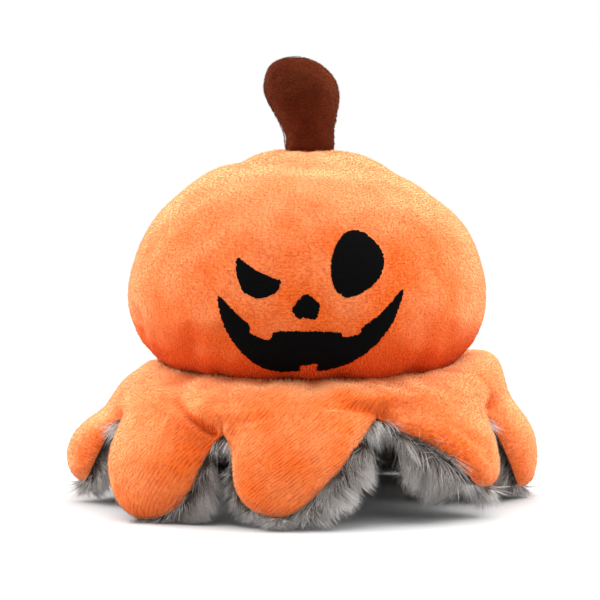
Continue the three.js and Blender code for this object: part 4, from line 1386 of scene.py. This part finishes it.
class PLUSH_OT_legs(bpy.types.Operator):
    """Make the skirt with its eight legs: stuffed orange side, furry side, pile and fur"""

    bl_idname = "plush_toy.legs"
    bl_label = "Skirt and legs"

    def execute(self, context):
        grids = [leg_grids(index, context.scene.plush_legs) for index in range(LEG_COUNT)]
        tops = [padded_out(top, False, 1 - across**6) for top, _, _, _, across, _ in grids]
        rows, columns = tops[0].shape[:2]
        quads = [f for index in range(LEG_COUNT) for f in grid_quads(rows, columns, start=index * rows * columns)]
        cover = piece("cover_sheet", np.stack(tops), quads)
        for index, (_, middle, under, grain, across, along) in enumerate(grids):
            number, top = index + 1, tops[index]
            leg = shell_between(f"leg_{number}", top, middle, LEG_CLOTHS[index], turned_grain(grain, SLANTS[index]))
            lining = shell_between(f"leg_{number}_lining", middle, under, "grey knitted ground", grain)
            pile = leg_pile(index, top)
            hair = leg_fur(index, under, across, along, cover)
            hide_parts("skirt_cover", "skirt_padding", f"leg_cover_{number}", f"leg_padding_{number}")
            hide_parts("skirt_lining")
            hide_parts(f"leg_fur_{number}")
            start, end = on_leg_axis(index, BEND_FROM), on_leg_axis(index, BEND_TO)
            for made, slot in ((leg, "orange_plush"), (pile, "orange_plush"), (lining, "grey_fur"), (hair, "grey_fur")):
                rest_on_floor(made)
                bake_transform(made, "toy_body", f"leg_{number}", start=start, end=end)
        bpy.data.objects.remove(cover)
        return {"FINISHED"}


class PLUSH_OT_belly(bpy.types.Operator):
    """Make the furry belly under the head"""

    bl_idname = "plush_toy.belly"
    bl_label = "Belly"

    def execute(self, context):
        rings, columns = BELLY_GRID
        around, out = np.meshgrid(
            np.linspace(0, 2 * math.pi, columns, endpoint=False), (np.arange(rings) + 0.5) / rings
        )
        radius, rise, up = BELLY_RADIUS * out, BELLY_ARCH * (1 - out**2), np.array([0, 0, 1])
        flat = np.stack([radius * np.sin(around), -radius * np.cos(around), 0 * around], axis=-1)
        wave = lumps(flat + 0.3 * up, BELLY_LUMPS)
        over = flat + (BELLY_TOP + rise)[..., None] * up
        under = flat + (BELLY_BOTTOM + rise + wave)[..., None] * up
        points, faces = closed_rings(np.concatenate([under, over[::-1]]))
        cloth = piece(
            "belly_lining_cloth", points, faces, plush_cloth("grey knitted ground"), grain=points * np.array([1, 1, 0])
        )
        belly = tidy_shell(cloth, BELLY_SHARP)
        ones = np.ones(under.shape[:2])
        ground = ground_sheet(under, closed=True, flow=unit(flat) * 0.6, growth=ones, reach=ones)
        if ground.data.polygons[0].normal.z > 0:
            ground.data.flip_normals()
        hair = grow("belly_fur", ground, "belly fur", 60)
        for made in (belly, hair):
            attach(made, "toy_body")
        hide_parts("belly_lining")
        return {"FINISHED"}


# ---------------------------------------------------------------- the squeaker, and the stage


class PLUSH_OT_squeaker(bpy.types.Operator):
    """Give the squeaker inside the head its vinyl"""

    bl_idname = "plush_toy.squeaker"
    bl_label = "Squeaker"

    def execute(self, context):
        for name in ("squeaker_bulb", "squeaker_reed"):
            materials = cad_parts[name].data.materials
            materials.clear()
            materials.append(squeaker_vinyl("squeaker vinyl"))
        return {"FINISHED"}


def aimed(made, direction):
    """An object turned so that it looks or shines in that direction."""
    made.rotation_mode = "QUATERNION"
    made.rotation_quaternion = Vector(direction).to_track_quat("-Z", "Y")
    return made


def area_light(name, place, power, size, middle=(0.0, 0.0, 0.08)):
    """A large soft light that shines at the toy's middle."""
    data = bpy.data.lights.new(name, "AREA")
    data.shape, data.size, data.energy = "DISK", size, power
    made = aimed(new_object(name, data), Vector(middle) - Vector(place))
    made.location = place


class PLUSH_OT_studio(bpy.types.Operator):
    """Set up the floor, the soft light and the camera"""

    bl_idname = "plush_toy.studio"
    bl_label = "Studio"

    def execute(self, context):
        settings, reach = context.scene.plush_studio, 40.0
        stuff, n, shader = new_material("pale floor", (*settings.floor, 1.0))
        n.feed(shader, {"Base Color": (*settings.floor, 1.0), "Roughness": 0.9, "Specular IOR Level": 0.1})
        corners = [(-reach, -reach, 0), (reach, -reach, 0), (reach, reach, 0), (-reach, reach, 0)]
        floor = piece("floor", corners, [(0, 1, 2, 3)], stuff)
        world = bpy.data.worlds.new("studio")
        world.use_nodes = True
        n = Nodes(world.node_tree)
        seen = n.add("ShaderNodeLightPath", None, "Is Camera Ray")
        sky = {"Color": (1.0, 1.0, 1.0, 1.0), "Strength": n.at_least(seen, settings.sky)}
        n.feed(world.node_tree.nodes["Background"], sky)
        context.scene.world = world
        sun = bpy.data.lights.new("overhead light", "SUN")
        sun.energy, sun.angle = settings.key, math.radians(90)
        aimed(new_object("overhead light", sun), (-0.10, -0.08, -1.0))
        area_light("front light", (0.5, -1.2, 0.5), settings.fill, 0.9)
        area_light("left rim light", (-0.98, 0.16, 0.40), settings.rim * 1.25, 1.4)
        area_light("right rim light", (1.0, 0.06, 0.42), settings.rim, 1.4)
        context.scene.view_settings.view_transform = "Standard"
        lens = bpy.data.cameras.new("camera")
        lens.sensor_width = 36.0
        lens.lens = lens.sensor_width * settings.distance / settings.field
        lens.clip_start, lens.clip_end = 0.05, 50.0
        back = Vector((0.0, -math.cos(settings.elevation), math.sin(settings.elevation)))
        camera = aimed(new_object("camera", lens), -back)
        camera.location = Vector(settings.aim) + back * settings.distance
        context.scene.camera = camera
        return {"FINISHED"}


class PLUSH_PT_panel(bpy.types.Panel):
    """Lists the steps that build the toy, and its settings"""

    bl_idname = "PLUSH_PT_panel"
    bl_label = "Plush pumpkin dog toy"
    bl_space_type = "VIEW_3D"
    bl_region_type = "UI"
    bl_category = "Plush toy"

    def draw(self, context):
        for step in STEPS:
            self.layout.operator(step.bl_idname)
        for name, _ in SETTINGS:
            box = self.layout.box()
            settings = getattr(context.scene, name)
            for key in settings.bl_rna.properties.keys():
                if key not in ("rna_type", "name"):
                    box.prop(settings, key)


STEPS = (
    PLUSH_OT_head, PLUSH_OT_face, PLUSH_OT_head_pile, PLUSH_OT_stem, PLUSH_OT_legs, PLUSH_OT_belly,
    PLUSH_OT_squeaker, PLUSH_OT_studio,
)
SETTINGS = (
    ("plush_head", HeadSizes), ("plush_legs", LegSizes), ("plush_fur", FurSizes), ("plush_padding", PaddingSizes),
    ("plush_colours", PlushColours), ("plush_studio", StudioSettings),
)


def register():
    """Registers the settings, the steps and the panel."""
    for name, group in SETTINGS:
        bpy.utils.register_class(group)
        setattr(bpy.types.Scene, name, bpy.props.PointerProperty(type=group))
    for step in (*STEPS, PLUSH_PT_panel):
        bpy.utils.register_class(step)


def unregister():
    """Takes them away again."""
    for step in (PLUSH_PT_panel, *reversed(STEPS)):
        bpy.utils.unregister_class(step)
    for name, group in reversed(SETTINGS):
        delattr(bpy.types.Scene, name)
        bpy.utils.unregister_class(group)


def main():
    register()
    for step in STEPS:
        family, action = step.bl_idname.split(".")
        getattr(getattr(bpy.ops, family), action)()


if __name__ == "__main__":
    main()
